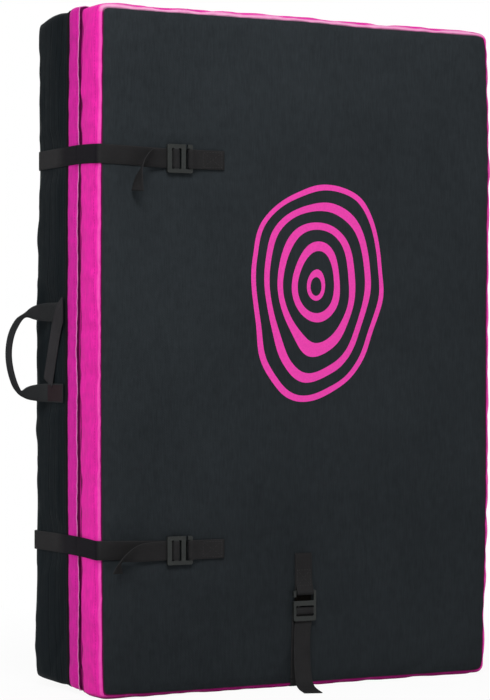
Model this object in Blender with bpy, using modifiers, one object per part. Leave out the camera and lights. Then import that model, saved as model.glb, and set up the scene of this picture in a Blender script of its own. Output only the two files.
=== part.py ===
# Folding bouldering crash pad, closed and standing on its bottom edge.
# Metres, +Z up. The outer face of the front half looks along -Y, the pad opens at -X and folds at +X.
# Depths are measured from the plane of the front face towards the back, heights from the floor.

import math

import bmesh
import bpy
from mathutils import Matrix, Vector

# Driving dimensions of the closed pad
PAD_WIDTH = 0.602
PAD_HEIGHT = 0.898
FRONT_DROP = 0.001
HALF_DEPTH = 0.0575
FOLD_GAP = 0.006
REAR_GUSSET_DEPTH = 0.0325
BINDING_DEPTH = 0.0075
COVER_DEPTH = 0.0965

# Outline of the halves, seen from the front
OPEN_CORNER = 0.008
FOLD_CORNER = 0.014
SIDE_BOW = 0.003
TOP_BOW = 0.0005
CORNER_STEPS = 4
SIDE_STEPS = 5
TOP_STEPS = 3

# Fabric and foam
FABRIC = 0.0012
COVER_FABRIC = 0.0015
CLEAR = 0.0003
SIDE_BULGE = 0.0015
COVER_PROUD = 0.001
BINDING_PROUD = 0.001
BINDING_THICKNESS = 0.002
FACE_ROLL = 0.0045
FACE_CROWN = 0.003
LANDING_ROLL = 0.003
LANDING_CROWN = 0.001
COVER_ROLL = 0.008
FOAM_INSET = 0.0028
FOAM_LIFT = 0.0042
FOAM_BEHIND_SKIN = 0.0018
REAR_TOP_FOAM = 0.015
FRONT_CORE_FOAM = 0.040
REAR_CORE_FOAM = 0.095
BASE_SHEET = 0.001
PADDING_ROLL = 0.005
crown_ring_shares = (0.8, 0.55, 0.3)

# Sewn seams between the fabric panels
SEAM = 0.0009

# Webbing and the closure straps
WEB_WIDTH = 0.025
WEB = 0.0013
SIDE_TURN = 0.00645
BACK_TURN = 0.0085
BACK_LAP = 0.045
UPPER_STRAP_FROM_TOP = 0.1975
LOWER_STRAP_HEIGHT = 0.1895
ANCHOR_FROM_EDGE = 0.1308
BOTTOM_STRAP_X = 0.001
BOTTOM_ANCHOR_HEIGHT = 0.1272
PATCH_LENGTH = 0.0514
BOTTOM_PATCH_LENGTH = 0.0519
GROOVE_DEPTH = 0.0019
GROOVE_SIDE = 0.0015
UNDER_TURN_RISE = 0.0100
UNDER_TURN_LOW = 0.0025
UNDER_TURN_IN = 0.0006

# Hook buckle: bars and slots along the strap, from the hook bar towards the strap's corner
HOOK_BAR = 0.0044
SIDE_THROAT = 0.0058
BOTTOM_THROAT = 0.0097
BAR = 0.0066
SLOT = 0.0036
SLOT_SPARE = 0.001
SIDE_RAIL = 0.0052
BOTTOM_RAIL = 0.0036
MOUTH_SHARE = 0.55
PLATE = 0.003
LOOP_RADIUS = 0.0038
PLATE_CORNER = 0.005
SLOT_CORNER = 0.001
CORNER_ARC_STEPS = 3

# Loose tails of the three straps
UPPER_TAIL_LEFT = 0.0510
UPPER_TAIL_DROP = 0.0395
UPPER_TAIL_OUT = 0.0150
LOWER_TAIL_LEFT = 0.0735
LOWER_TAIL_DROP = 0.026
LOWER_TAIL_OUT = 0.0115
BOTTOM_TAIL_OUT = 0.0748
BOTTOM_TAIL_SWEEP = -0.0256
FLOOR_REST = 0.0005

# Carrying handle on the open side
HANDLE_ABOVE_MIDDLE = 0.0525
HANDLE_SPAN = 0.1077
HANDLE_REACH_BACK = 0.080
HANDLE_STANDOUT = 0.048
GRIP_WIDTH = 0.014
GRIP_THICKNESS = 0.008
STRAND_BACK = 0.042
STRAND_FOOT = 0.004

# Fold hinge
HINGE_RADIUS = 0.0044
HINGE_END = 0.012

# Harness on the back
YOKE_WIDTH = 0.22
YOKE_HEIGHT = 0.06
YOKE_THICKNESS = 0.003
YOKE_FROM_TOP = 0.078
SHOULDER_X = 0.070
SHOULDER_SPREAD = 0.045
SHOULDER_LENGTH = 0.40
SHOULDER_WIDTH = 0.065
PAD_THICKNESS = 0.012
LOCK_WIDTH = 0.036
LOCK_LENGTH = 0.030
LOCK_PLATE = 0.0035
LOWER_WEB_X = 0.235
LOWER_WEB_HEIGHT = 0.055
LOCK_TAIL = 0.085
BELT_HEIGHT = 0.105
BELT_HINGE_X = 0.160
WING_LENGTH = 0.098
WING_ROOT = 0.085
BELT_WEB = 0.028
BUCKLE_WIDTH = 0.034
BUCKLE_THICKNESS = 0.009
SOCKET_LENGTH = 0.030
SOCKET_WALL = 0.0018
SOCKET_HOLLOW = 0.018
INSERT_BASE = 0.011
PRONG_LENGTH = 0.015
PRONG_WIDTH = 0.005
PRONG_THICKNESS = 0.004
CUT_OVERRUN = 0.001

# Depths that follow from the sizes above
LANDING_EDGE = HALF_DEPTH - LANDING_ROLL
MID_GAP = HALF_DEPTH + FOLD_GAP / 2
REAR_FACE = HALF_DEPTH + FOLD_GAP
REAR_EDGE = REAR_FACE + LANDING_ROLL
BINDING_START = REAR_EDGE + REAR_GUSSET_DEPTH - LANDING_ROLL
COVER_START = BINDING_START + BINDING_DEPTH
BACK = COVER_START + COVER_DEPTH

# The frame's origin is under the middle of everything, straps and handle included
LEFT_REACH = PAD_WIDTH / 2 + SIDE_BULGE + HANDLE_STANDOUT + GRIP_THICKNESS / 2
HINGE_OFFSET = SIDE_BULGE + CLEAR
RIGHT_REACH = PAD_WIDTH / 2 + HINGE_OFFSET + HINGE_RADIUS
FRONT_REACH = BOTTOM_TAIL_OUT
BACK_REACH = BACK + CLEAR + PAD_THICKNESS
PAD_X = (LEFT_REACH - RIGHT_REACH) / 2
FACE_Y = (FRONT_REACH - BACK_REACH) / 2
MID_HEIGHT = PAD_HEIGHT / 2
YOKE_TOP = PAD_HEIGHT - YOKE_FROM_TOP
UPPER_STRAP_HEIGHT = PAD_HEIGHT - UPPER_STRAP_FROM_TOP
HANDLE_TOP = MID_HEIGHT + HANDLE_ABOVE_MIDDLE
FRONT_HEIGHT = PAD_HEIGHT - FRONT_DROP

CHARCOAL = ((0.022, 0.026, 0.029, 1.0), 0.85, 0.0)
BLACK = ((0.012, 0.015, 0.018, 1.0), 0.80, 0.0)
PINK = ((0.69, 0.027, 0.33, 1.0), 0.60, 0.0)
GREY_FOAM = ((0.35, 0.36, 0.37, 1.0), 0.95, 0.0)
WHITE_FOAM = ((0.80, 0.78, 0.70, 1.0), 0.95, 0.0)
WEBBING = ((0.021, 0.021, 0.022, 1.0), 0.75, 0.0)
MOULDED = ((0.026, 0.030, 0.028, 1.0), 0.45, 0.0)


def clear_scene():
    for obj in list(bpy.data.objects):
        bpy.data.objects.remove(obj, do_unlink=True)


def new_collection(name):
    collection = bpy.data.collections.new(name)
    bpy.context.scene.collection.children.link(collection)
    return collection


def add_material(obj, finish):
    colour, roughness, metallic = finish
    material = bpy.data.materials.new(obj.name + "_finish")
    material.use_nodes = True
    shader = material.node_tree.nodes["Principled BSDF"]
    shader.inputs["Base Color"].default_value = colour
    shader.inputs["Roughness"].default_value = roughness
    shader.inputs["Metallic"].default_value = metallic
    obj.data.materials.append(material)


def hang_on(obj, pivot):
    """Parents a piece to the empty on its joint's axis, and leaves it where it is."""
    obj.parent = pivot
    obj.matrix_parent_inverse = Matrix.Translation(-pivot.location)


def add_pivot(name, location):
    pivot = bpy.data.objects.new(name, None)
    pivot.location = location
    parts.objects.link(pivot)
    return pivot


def add_piece(name, bm, finish, pivot=None, smooth=True):
    mesh = bpy.data.meshes.new(name)
    bm.to_mesh(mesh)
    bm.free()
    obj = bpy.data.objects.new(name, mesh)
    parts.objects.link(obj)
    add_material(obj, finish)
    if smooth:
        mesh.shade_smooth()
        mesh.set_sharp_from_angle(angle=math.radians(35))
    if pivot:
        hang_on(obj, pivot)
    return obj


def skin_of(rings, closed_ends):
    """A surface through rings listed from back to front. A ring of one point is a pole."""
    bm = bmesh.new()
    rows = [[bm.verts.new(p) for p in ring] for ring in rings]
    for back, front in zip(rows, rows[1:]):
        count = max(len(back), len(front))
        for i in range(count):
            j = (i + 1) % count
            if len(back) == 1:
                bm.faces.new((back[0], front[j], front[i]))
            elif len(front) == 1:
                bm.faces.new((back[i], back[j], front[0]))
            else:
                bm.faces.new((back[i], back[j], front[j], front[i]))
    if closed_ends:
        for row in (rows[0], rows[-1]):
            if len(row) > 2:
                bm.faces.new(row)
        bmesh.ops.recalc_face_normals(bm, faces=bm.faces)
    return bm


def add_shell(name, rings, thickness, finish, pivot=None):
    """Sewn fabric: an open skin, thickened towards the inside of the pad."""
    obj = add_piece(name, skin_of(rings, False), finish, pivot)
    wall = obj.modifiers.new("Wall", "SOLIDIFY")
    wall.thickness = thickness
    wall.offset = -1
    return obj


def add_solid(name, rings, finish, pivot=None):
    return add_piece(name, skin_of(rings, True), finish, pivot)


def half_width_at(height):
    """Half the width of the pad's seam line at this height, without the gusset's bulge."""
    share = 2 * height / PAD_HEIGHT - 1
    return PAD_WIDTH / 2 - SIDE_BOW * share * share


def corner_arc(x, z, radius, start):
    for step in range(CORNER_STEPS + 1):
        angle = math.radians(start + 90 * step / CORNER_STEPS)
        yield x + radius * math.cos(angle), z + radius * math.sin(angle)


def outline(height, inset, lift):
    """Points round a half, counterclockwise from the front: a flat bottom with the groove for the
    strap, bowed sides and top, and round corners. All outlines have the same number of points."""
    fold, opening = FOLD_CORNER - inset, OPEN_CORNER - inset
    side = PAD_WIDTH / 2 - inset
    top = height - inset
    right, left = side - SIDE_BOW - fold, side - SIDE_BOW - opening
    high = top - TOP_BOW
    groove = WEB_WIDTH / 2 + GROOVE_SIDE
    groove_top = max(GROOVE_DEPTH, lift)
    points = [(-left / 2, lift)]
    points += [(BOTTOM_STRAP_X - groove - GROOVE_SIDE, lift), (BOTTOM_STRAP_X - groove, groove_top)]
    points += [(BOTTOM_STRAP_X + groove, groove_top), (BOTTOM_STRAP_X + groove + GROOVE_SIDE, lift)]
    points += [(right / 2, lift)]
    points += corner_arc(right, lift + fold, fold, -90)
    for step in range(1, SIDE_STEPS + 1):
        share = step / (SIDE_STEPS + 1)
        rise = lift + fold + (high - lift - 2 * fold) * share
        points.append((side - SIDE_BOW * (2 * share - 1) ** 2, rise))
    points += corner_arc(right, high - fold, fold, 0)
    for step in range(1, TOP_STEPS + 1):
        share = step / (TOP_STEPS + 1)
        points.append((right - (right + left) * share, top - TOP_BOW * (2 * share - 1) ** 2))
    points += corner_arc(-left, high - opening, opening, 90)
    for step in range(1, SIDE_STEPS + 1):
        share = step / (SIDE_STEPS + 1)
        drop = high - opening - (high - lift - 2 * opening) * share
        points.append((-side + SIDE_BOW * (2 * share - 1) ** 2, drop))
    points += corner_arc(-left, lift + opening, opening, 180)
    return points


def ring(height, depth, inset, lift, scale=1.0):
    """One outline at a depth, scaled towards the middle of the pad."""
    y = FACE_Y + depth
    return [
        Vector((PAD_X + px * scale, y, MID_HEIGHT + (pz - MID_HEIGHT) * scale))
        for px, pz in outline(height, inset, lift)
    ]


def roll_rings(height, depth, facing, roll, inset, lift):
    """Rings of a rolled edge, from the side to the face. Facing is -1 for a face that looks to the
    front, and 1 for one that looks to the back."""
    rings = []
    for turn in (0, 45, 90):
        angle = math.radians(turn)
        drawn = roll * (1 - math.cos(angle))
        sunk = roll * (1 - math.sin(angle))
        rings.append(ring(height, depth - facing * sunk, inset + drawn, lift + drawn))
    return rings


def face_rings(height, depth, facing, crown, inset, lift):
    """Rings of a crowned face inside its edge, and the point in its middle."""
    rings = []
    for share in crown_ring_shares:
        proud = crown * (1 - share * share)
        rings.append(ring(height, depth + facing * proud, inset, lift, share))
    rings.append([Vector((PAD_X, FACE_Y + depth + facing * crown, MID_HEIGHT))])
    return rings


def cap_rings(height, depth, facing, roll, crown, inset, lift):
    edge = roll_rings(height, depth, facing, roll, inset, lift)
    return edge + face_rings(height, depth, facing, crown, inset + roll, lift + roll)


def face_height(x, z):
    """How far the crowned front face stands proud of depth zero, x from the pad's middle."""
    share = max(abs(x) / (PAD_WIDTH / 2), abs(z - MID_HEIGHT) / MID_HEIGHT)
    return FACE_CROWN * (1 - min(share, 1) ** 2)


def band_rings(height, start, end, bulge):
    """A sewn side strip, proud by its bulge half way between its seams and flat on the floor."""
    middle = (start + end) / 2
    return [ring(height, end, 0, 0), ring(height, middle, -bulge, 0), ring(height, start, 0, 0)]


def build_front_half(pivot):
    seam = FACE_ROLL + SEAM
    face = [ring(FRONT_HEIGHT, 0, seam, seam)] + face_rings(FRONT_HEIGHT, 0, -1, FACE_CROWN, seam, seam)
    add_shell("front_base_panel", face, FABRIC, CHARCOAL, pivot)
    gusset = band_rings(FRONT_HEIGHT, FACE_ROLL, LANDING_EDGE - SEAM, SIDE_BULGE)[:2]
    gusset += roll_rings(FRONT_HEIGHT, 0, -1, FACE_ROLL, 0, 0)
    add_shell("front_gusset", gusset, FABRIC, PINK, pivot)
    landing = cap_rings(FRONT_HEIGHT, HALF_DEPTH, 1, LANDING_ROLL, LANDING_CROWN, 0, 0)
    add_shell("front_landing_panel", landing[::-1], FABRIC, BLACK, pivot)
    core_end = FOAM_BEHIND_SKIN + FRONT_CORE_FOAM
    core = [ring(FRONT_HEIGHT, core_end, FOAM_INSET, FOAM_LIFT)]
    core += cap_rings(FRONT_HEIGHT, FOAM_BEHIND_SKIN, -1, FACE_ROLL, FACE_CROWN, FOAM_INSET, FOAM_LIFT)
    add_solid("front_core_foam", core, WHITE_FOAM, pivot)
    top_back = HALF_DEPTH - FOAM_BEHIND_SKIN
    top = cap_rings(FRONT_HEIGHT, top_back, 1, LANDING_ROLL, LANDING_CROWN, FOAM_INSET, FOAM_LIFT)[::-1]
    top.append(ring(FRONT_HEIGHT, core_end + CLEAR, FOAM_INSET, FOAM_LIFT))
    add_solid("front_top_foam", top, GREY_FOAM, pivot)


def build_rear_half():
    landing = cap_rings(PAD_HEIGHT, REAR_FACE, -1, LANDING_ROLL, LANDING_CROWN, 0, 0)
    add_shell("rear_landing_panel", landing, FABRIC, BLACK)
    gusset = band_rings(PAD_HEIGHT, REAR_EDGE + SEAM, BINDING_START - SEAM, SIDE_BULGE)
    add_shell("rear_gusset", gusset, FABRIC, PINK)
    top_face = REAR_FACE + FOAM_BEHIND_SKIN
    top_end = top_face + REAR_TOP_FOAM
    top = [ring(PAD_HEIGHT, top_end, FOAM_INSET, FOAM_LIFT)]
    top += cap_rings(PAD_HEIGHT, top_face, -1, LANDING_ROLL, LANDING_CROWN, FOAM_INSET, FOAM_LIFT)
    add_solid("rear_top_foam", top, GREY_FOAM)
    core_start = top_end + CLEAR
    core_end = core_start + REAR_CORE_FOAM
    core = [ring(PAD_HEIGHT, core_end, FOAM_INSET, FOAM_LIFT)]
    core.append(ring(PAD_HEIGHT, core_start, FOAM_INSET, FOAM_LIFT))
    add_solid("rear_core_foam", core, WHITE_FOAM)
    sheet_start = core_end + CLEAR
    sheet_end = sheet_start + BASE_SHEET
    sheet = [ring(PAD_HEIGHT, sheet_end, FOAM_INSET, FOAM_LIFT)]
    sheet.append(ring(PAD_HEIGHT, sheet_start, FOAM_INSET, FOAM_LIFT))
    add_solid("rear_base_sheet", sheet, CHARCOAL)
    back = BACK - FOAM_BEHIND_SKIN
    padding = cap_rings(PAD_HEIGHT, back, 1, PADDING_ROLL, 0, FOAM_INSET, FOAM_LIFT)[::-1]
    padding.append(ring(PAD_HEIGHT, sheet_end + CLEAR, FOAM_INSET, FOAM_LIFT))
    add_solid("back_padding", padding, GREY_FOAM)


def build_cover():
    binding_end = COVER_START - CLEAR
    depths = (binding_end, BINDING_START)
    binding = [ring(PAD_HEIGHT, depth, -BINDING_PROUD, 0) for depth in depths]
    add_shell("cover_binding", binding, BINDING_THICKNESS, BLACK)
    cover = cap_rings(PAD_HEIGHT, BACK, 1, COVER_ROLL, 0, -COVER_PROUD, 0)[::-1]
    cover.append(ring(PAD_HEIGHT, (COVER_START + BACK) / 2, -COVER_PROUD, 0))
    cover.append(ring(PAD_HEIGHT, COVER_START, -COVER_PROUD, 0))
    add_shell("back_cover", cover, COVER_FABRIC, BLACK)


def add_ribbon(name, path, across, widths, depths, finish, pivot=None):
    """Webbing carried along a path. Across is the direction of its width at each point, and the ring
    at a bend is widened so that the webbing keeps its thickness."""
    rings = []
    for i, point in enumerate(path):
        before = (point - path[max(i - 1, 0)]).normalized()
        after = (path[min(i + 1, len(path) - 1)] - point).normalized()
        tangent = (before + after).normalized()
        straight = max(before.dot(tangent), after.dot(tangent))
        side = (across[i] - tangent * across[i].dot(tangent)).normalized()
        up = tangent.cross(side) * (depths[i] / 2 / straight)
        side *= widths[i] / 2
        rings.append([point + side + up, point - side + up, point - side - up, point + side - up])
    return add_solid(name, rings, finish, pivot)


def add_webbing(name, path, across, finish=WEBBING, pivot=None):
    """Flat webbing of one width, whose width direction is one vector or one for each point."""
    count = len(path)
    across = across if isinstance(across, list) else [across] * count
    return add_ribbon(name, path, across, [WEB_WIDTH] * count, [WEB] * count, finish, pivot)


def strap_frame(x, z, along):
    """Axes of a closure strap at its hook bar: u along the strap, w across it, n out of the face."""
    out = Vector((0, -1, 0))
    wide = out.cross(along)
    start = Vector((PAD_X + x, FACE_Y, z))
    return Matrix((
        (along.x, wide.x, out.x, start.x),
        (along.y, wide.y, out.y, start.y),
        (along.z, wide.z, out.z, start.z),
        (0, 0, 0, 1),
    ))


def placed(frame, u, n, w=0.0):
    return frame @ Vector((u, w, n))


# Levels of the webbing and the buckle above the face, and the buckle's places along the strap
LOAD_LEVEL = CLEAR + WEB / 2
RETURN_LEVEL = LOAD_LEVEL + WEB + CLEAR
PLATE_LOW = RETURN_LEVEL + WEB / 2 + CLEAR
BAR_LEVEL = PLATE_LOW + PLATE / 2
OVER_LEVEL = PLATE_LOW + PLATE + CLEAR + WEB / 2


def slots_of(throat):
    """Where the far slot, the near slot and the end of a buckle with this throat are."""
    far = HOOK_BAR / 2 + throat + BAR
    near = far + SLOT + BAR
    return far, near, near + SLOT + BAR


def rounded(corners, radius):
    """A closed outline with its corners rounded by short arcs."""
    points = []
    count = len(corners)
    for i, corner in enumerate(corners):
        corner = Vector(corner)
        to_last = (Vector(corners[i - 1]) - corner).normalized()
        to_next = (Vector(corners[(i + 1) % count]) - corner).normalized()
        centre = corner + (to_last + to_next) * radius
        for step in range(CORNER_ARC_STEPS + 1):
            angle = math.radians(90 * step / CORNER_ARC_STEPS)
            points.append(centre - to_next * radius * math.cos(angle) - to_last * radius * math.sin(angle))
    return points


def add_plate(name, outlines, thickness, matrix, finish, pivot=None):
    """A flat moulded piece from its outline and the outlines of its slots."""
    curve = bpy.data.curves.new(name, "CURVE")
    curve.dimensions = "2D"
    curve.fill_mode = "BOTH"
    curve.extrude = thickness / 2
    for points in outlines:
        spline = curve.splines.new("POLY")
        spline.points.add(len(points) - 1)
        for spline_point, point in zip(spline.points, points):
            spline_point.co = (point.x, point.y, 0, 1)
        spline.use_cyclic_u = True
    obj = bpy.data.objects.new(name, curve)
    obj.matrix_world = matrix
    parts.objects.link(obj)
    add_material(obj, finish)
    if pivot:
        hang_on(obj, pivot)
    return obj


def rectangle(low_u, high_u, low_w, high_w):
    return [(low_u, low_w), (high_u, low_w), (high_u, high_w), (low_u, high_w)]


def add_hook_buckle(name, frame, lift, throat, rail, pivot):
    """Ladder buckle with two webbing slots and a hook bar, whose throat opens through one rail."""
    far, near, end = slots_of(throat)
    half_slot = WEB_WIDTH / 2 + SLOT_SPARE
    half = half_slot + rail
    hook = HOOK_BAR / 2
    throat_end = hook + throat
    mouth = throat_end - throat * MOUTH_SHARE
    outer = rounded(rectangle(-hook, end, -half, half), PLATE_CORNER / 2)
    split = CORNER_ARC_STEPS + 1
    notch = [(mouth, -half), (mouth, -half_slot), (hook, -half_slot), (hook, half_slot)]
    notch += [(throat_end, half_slot), (throat_end, -half)]
    outer = outer[:split] + [Vector(p) for p in notch] + outer[split:]
    slots = [
        rounded(rectangle(start, start + SLOT, -half_slot, half_slot), SLOT_CORNER)
        for start in (far, near)
    ]
    level = Matrix.Translation(frame.to_3x3() @ Vector((0, 0, lift + BAR_LEVEL)))
    add_plate(name, [outer, *slots], PLATE, level @ frame, MOULDED, pivot)


def add_anchor(name, frame, lift, across, length, pivot):
    """Webbing sewn to the face, looped once round the hook bar and folded back on itself."""
    path = [(-length, LOAD_LEVEL), (-2 * LOOP_RADIUS, LOAD_LEVEL)]
    for turn in range(-90, 91, 30):
        angle = math.radians(turn)
        path.append((LOOP_RADIUS * math.cos(angle), BAR_LEVEL + LOOP_RADIUS * math.sin(angle)))
    path.append((-2 * LOOP_RADIUS, BAR_LEVEL))
    path += [(-4 * LOOP_RADIUS, RETURN_LEVEL), (WEB - length, RETURN_LEVEL)]
    points = [placed(frame, u, n + lift) for u, n in path]
    add_webbing(name, points, across, WEBBING, pivot)


def threaded(lift, throat):
    """The webbing's way through the buckle: under it, up the far slot, over the middle bar, down the
    near slot and back out under the end bar."""
    far, near, end = slots_of(throat)
    far += SLOT / 2
    near += SLOT / 2
    levels = [(far, LOAD_LEVEL), (far, OVER_LEVEL), (near, OVER_LEVEL), (near, RETURN_LEVEL)]
    levels.append((end + WEB, RETURN_LEVEL))
    return [(u, n + lift) for u, n in levels]


# Each tail as shares of its reach along the strap, its lift off the face and its drop. The side
# straps' tails also have a share of a quarter turn to edge-on, and a share of one beyond that
upper_tail_shares = (
    (0.20, 0.12, 0.00, 0.05, 0.00), (0.39, 0.38, 0.00, 0.20, 0.00), (0.57, 0.70, 0.02, 0.45, 0.00),
    (0.73, 0.94, 0.09, 0.75, 0.00), (0.85, 1.00, 0.23, 1.00, 0.00), (0.93, 1.00, 0.43, 1.00, -0.15),
    (0.97, 0.98, 0.65, 1.00, -0.30), (0.99, 0.94, 0.86, 1.00, -0.40), (1.00, 0.92, 1.00, 1.00, -0.45),
)
lower_tail_shares = (
    (0.20, 0.10, 0.00, 0.02, 0.00), (0.42, 0.34, 0.01, 0.14, 0.00), (0.61, 0.66, 0.04, 0.36, 0.00),
    (0.77, 0.88, 0.11, 0.62, 0.00), (0.89, 0.98, 0.25, 0.86, 0.00), (0.96, 1.00, 0.49, 1.00, 0.04),
    (0.99, 0.96, 0.75, 1.00, 0.20), (1.00, 0.92, 1.00, 1.00, 0.30),
)
bottom_tail_shares = (
    (0.10, 0.03, 0.12), (0.30, 0.05, 0.18), (0.50, 0.08, 0.22), (0.70, 0.14, 0.29),
    (0.86, 0.23, 0.37), (0.95, 0.35, 0.47), (0.99, 0.55, 0.63), (1.00, 1.00, 1.00),
)


def side_strap_path(frame, height, lift):
    """From the middle of the fold gap, forward along the side, round the edge and into the buckle."""
    reach = ANCHOR_FROM_EDGE - (PAD_WIDTH / 2 - half_width_at(height)) + SIDE_BULGE + CLEAR + WEB / 2
    end = MID_GAP - CLEAR / 2
    path = [(reach, -end)]
    centre_n = LOAD_LEVEL + CLEAR - SIDE_TURN
    for turn in (0, 30, 60, 90):
        angle = math.radians(turn)
        u = reach - SIDE_TURN + SIDE_TURN * math.cos(angle)
        path.append((u, centre_n + SIDE_TURN * math.sin(angle)))
    return [placed(frame, u, n) for u, n in path + threaded(lift, SIDE_THROAT)]


def band_height(height):
    """The edge of a side strap that is nearest to the pad's middle height, where the pad is widest."""
    toward = math.copysign(WEB_WIDTH / 2, MID_HEIGHT - height)
    return height + toward


def build_side_strap(name, height, tail):
    """Upper or lower closure strap: the rear part stays on the cover, and the rest swings at its hook."""
    frame = strap_frame(ANCHOR_FROM_EDGE - PAD_WIDTH / 2, height, Vector((-1, 0, 0)))
    wide = Vector((0, 0, -1))
    lift = face_height(ANCHOR_FROM_EDGE + PATCH_LENGTH - PAD_WIDTH / 2, band_height(height))
    pivot = add_pivot(name + "_axis", placed(frame, 0, lift + BAR_LEVEL))
    hang_on(pivot, front_pivot)
    add_anchor(name + "_anchor", frame, lift, wide, PATCH_LENGTH, front_pivot)
    add_hook_buckle(name + "_hook_buckle", frame, lift, SIDE_THROAT, SIDE_RAIL, pivot)
    path = side_strap_path(frame, band_height(height), lift)
    across = [wide] * len(path)
    for point, direction in tail(frame, lift):
        path.append(point)
        across.append(direction)
    add_webbing(name + "_webbing", path, across, WEBBING, pivot)
    build_rear_strap(name + "_rear_webbing", height, wide)


def hanging_tail(frame, lift, shares, left, out, drop):
    """Leaves the buckle flat, twists edge-on as it arcs off the face, and hangs."""
    start = slots_of(SIDE_THROAT)[-1] + WEB
    for along, standing, down, twist, beyond in shares:
        turn = math.radians(90 * twist)
        lean = math.radians(28 + 90 * beyond)
        edge = Vector((math.sin(turn) * math.sin(lean), -math.cos(turn), math.sin(turn) * math.cos(lean)))
        place = placed(frame, start + left * along, RETURN_LEVEL + lift + out * standing, drop * down)
        yield place, frame.to_3x3() @ -edge


def upper_tail(frame, lift):
    return hanging_tail(frame, lift, upper_tail_shares, UPPER_TAIL_LEFT, UPPER_TAIL_OUT, UPPER_TAIL_DROP)


def lower_tail(frame, lift):
    return hanging_tail(frame, lift, lower_tail_shares, LOWER_TAIL_LEFT, LOWER_TAIL_OUT, LOWER_TAIL_DROP)


def build_rear_strap(name, height, wide):
    """Sewn to the back, round the back edge and forward along the side to the fold gap."""
    x = half_width_at(band_height(height)) + SIDE_BULGE + CLEAR + WEB / 2
    back = BACK + CLEAR + WEB / 2
    path = [(x - BACK_TURN - BACK_LAP, back)]
    for turn in (90, 60, 30, 0):
        angle = math.radians(turn)
        inward = x - BACK_TURN + BACK_TURN * math.cos(angle)
        path.append((inward, back - BACK_TURN + BACK_TURN * math.sin(angle)))
    path.append((x, MID_GAP + CLEAR / 2))
    points = [Vector((PAD_X - px, FACE_Y + depth, height)) for px, depth in path]
    add_webbing(name, points, wide)


def build_bottom_strap():
    """Runs from its buckle down the face and under the pad, where a groove keeps it off the floor."""
    frame = strap_frame(BOTTOM_STRAP_X, BOTTOM_ANCHOR_HEIGHT, Vector((0, 0, -1)))
    wide = Vector((1, 0, 0))
    lift = face_height(BOTTOM_STRAP_X, BOTTOM_ANCHOR_HEIGHT + BOTTOM_PATCH_LENGTH)
    pivot = add_pivot("bottom_strap_axis", placed(frame, 0, lift + BAR_LEVEL))
    hang_on(pivot, front_pivot)
    add_anchor("bottom_strap_anchor", frame, lift, wide, BOTTOM_PATCH_LENGTH, front_pivot)
    add_hook_buckle("bottom_strap_hook_buckle", frame, lift, BOTTOM_THROAT, BOTTOM_RAIL, pivot)
    down = BOTTOM_ANCHOR_HEIGHT - UNDER_TURN_RISE - CLEAR
    out = LOAD_LEVEL + CLEAR
    path = [placed(frame, down, out)] + [placed(frame, u, n) for u, n in threaded(lift, BOTTOM_THROAT)]
    end = slots_of(BOTTOM_THROAT)[-1] + WEB
    drop = BOTTOM_ANCHOR_HEIGHT - end - WEB / 2 - FLOOR_REST
    start = RETURN_LEVEL + lift
    for along, forward, sweep in bottom_tail_shares:
        n = start + (BOTTOM_TAIL_OUT - start) * forward
        path.append(placed(frame, end + drop * along, n, BOTTOM_TAIL_SWEEP * sweep))
    add_webbing("bottom_strap_webbing", path, wide, WEBBING, pivot)
    x = PAD_X + BOTTOM_STRAP_X
    under = [(-out, UNDER_TURN_RISE), (-out, UNDER_TURN_LOW), (UNDER_TURN_IN, LOAD_LEVEL)]
    under.append((MID_GAP - CLEAR / 2, LOAD_LEVEL))
    points = [Vector((x, FACE_Y + depth, z)) for depth, z in under]
    add_webbing("bottom_strap_under_webbing", points, wide, WEBBING, front_pivot)
    rear = [Vector((x, FACE_Y + depth, LOAD_LEVEL)) for depth in (MID_GAP + CLEAR / 2, BACK - COVER_ROLL)]
    add_webbing("bottom_strap_rear_webbing", rear, wide)


# The handle as shares of its standout, its reach to the back and its height, then how far it has
# turned from running backwards (0) to running forwards again (1), and how far it is rolled up
handle_shares = (
    (0.00, 0.00, 0.000, 0.00, 0.0), (0.00, 0.37, 0.000, 0.00, 0.0), (0.05, 0.50, 0.000, 0.00, 0.0),
    (0.20, 0.63, 0.000, 0.00, 0.2), (0.36, 0.74, 0.003, 0.04, 0.6), (0.52, 0.84, 0.025, 0.14, 1.0),
    (0.70, 0.92, 0.110, 0.30, 1.0), (0.85, 0.98, 0.270, 0.42, 1.0), (0.92, 1.00, 0.480, 0.50, 1.0),
    (0.89, 0.99, 0.680, 0.58, 1.0), (0.78, 0.95, 0.850, 0.70, 1.0), (0.63, 0.89, 0.970, 0.84, 1.0),
    (0.48, 0.81, 1.000, 0.95, 0.8), (0.33, 0.72, 1.000, 0.99, 0.4), (0.18, 0.62, 1.000, 1.00, 0.1),
    (0.05, 0.50, 1.000, 1.00, 0.0), (0.00, 0.37, 1.000, 1.00, 0.0), (0.00, 0.00, 1.000, 1.00, 0.0),
)


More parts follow.
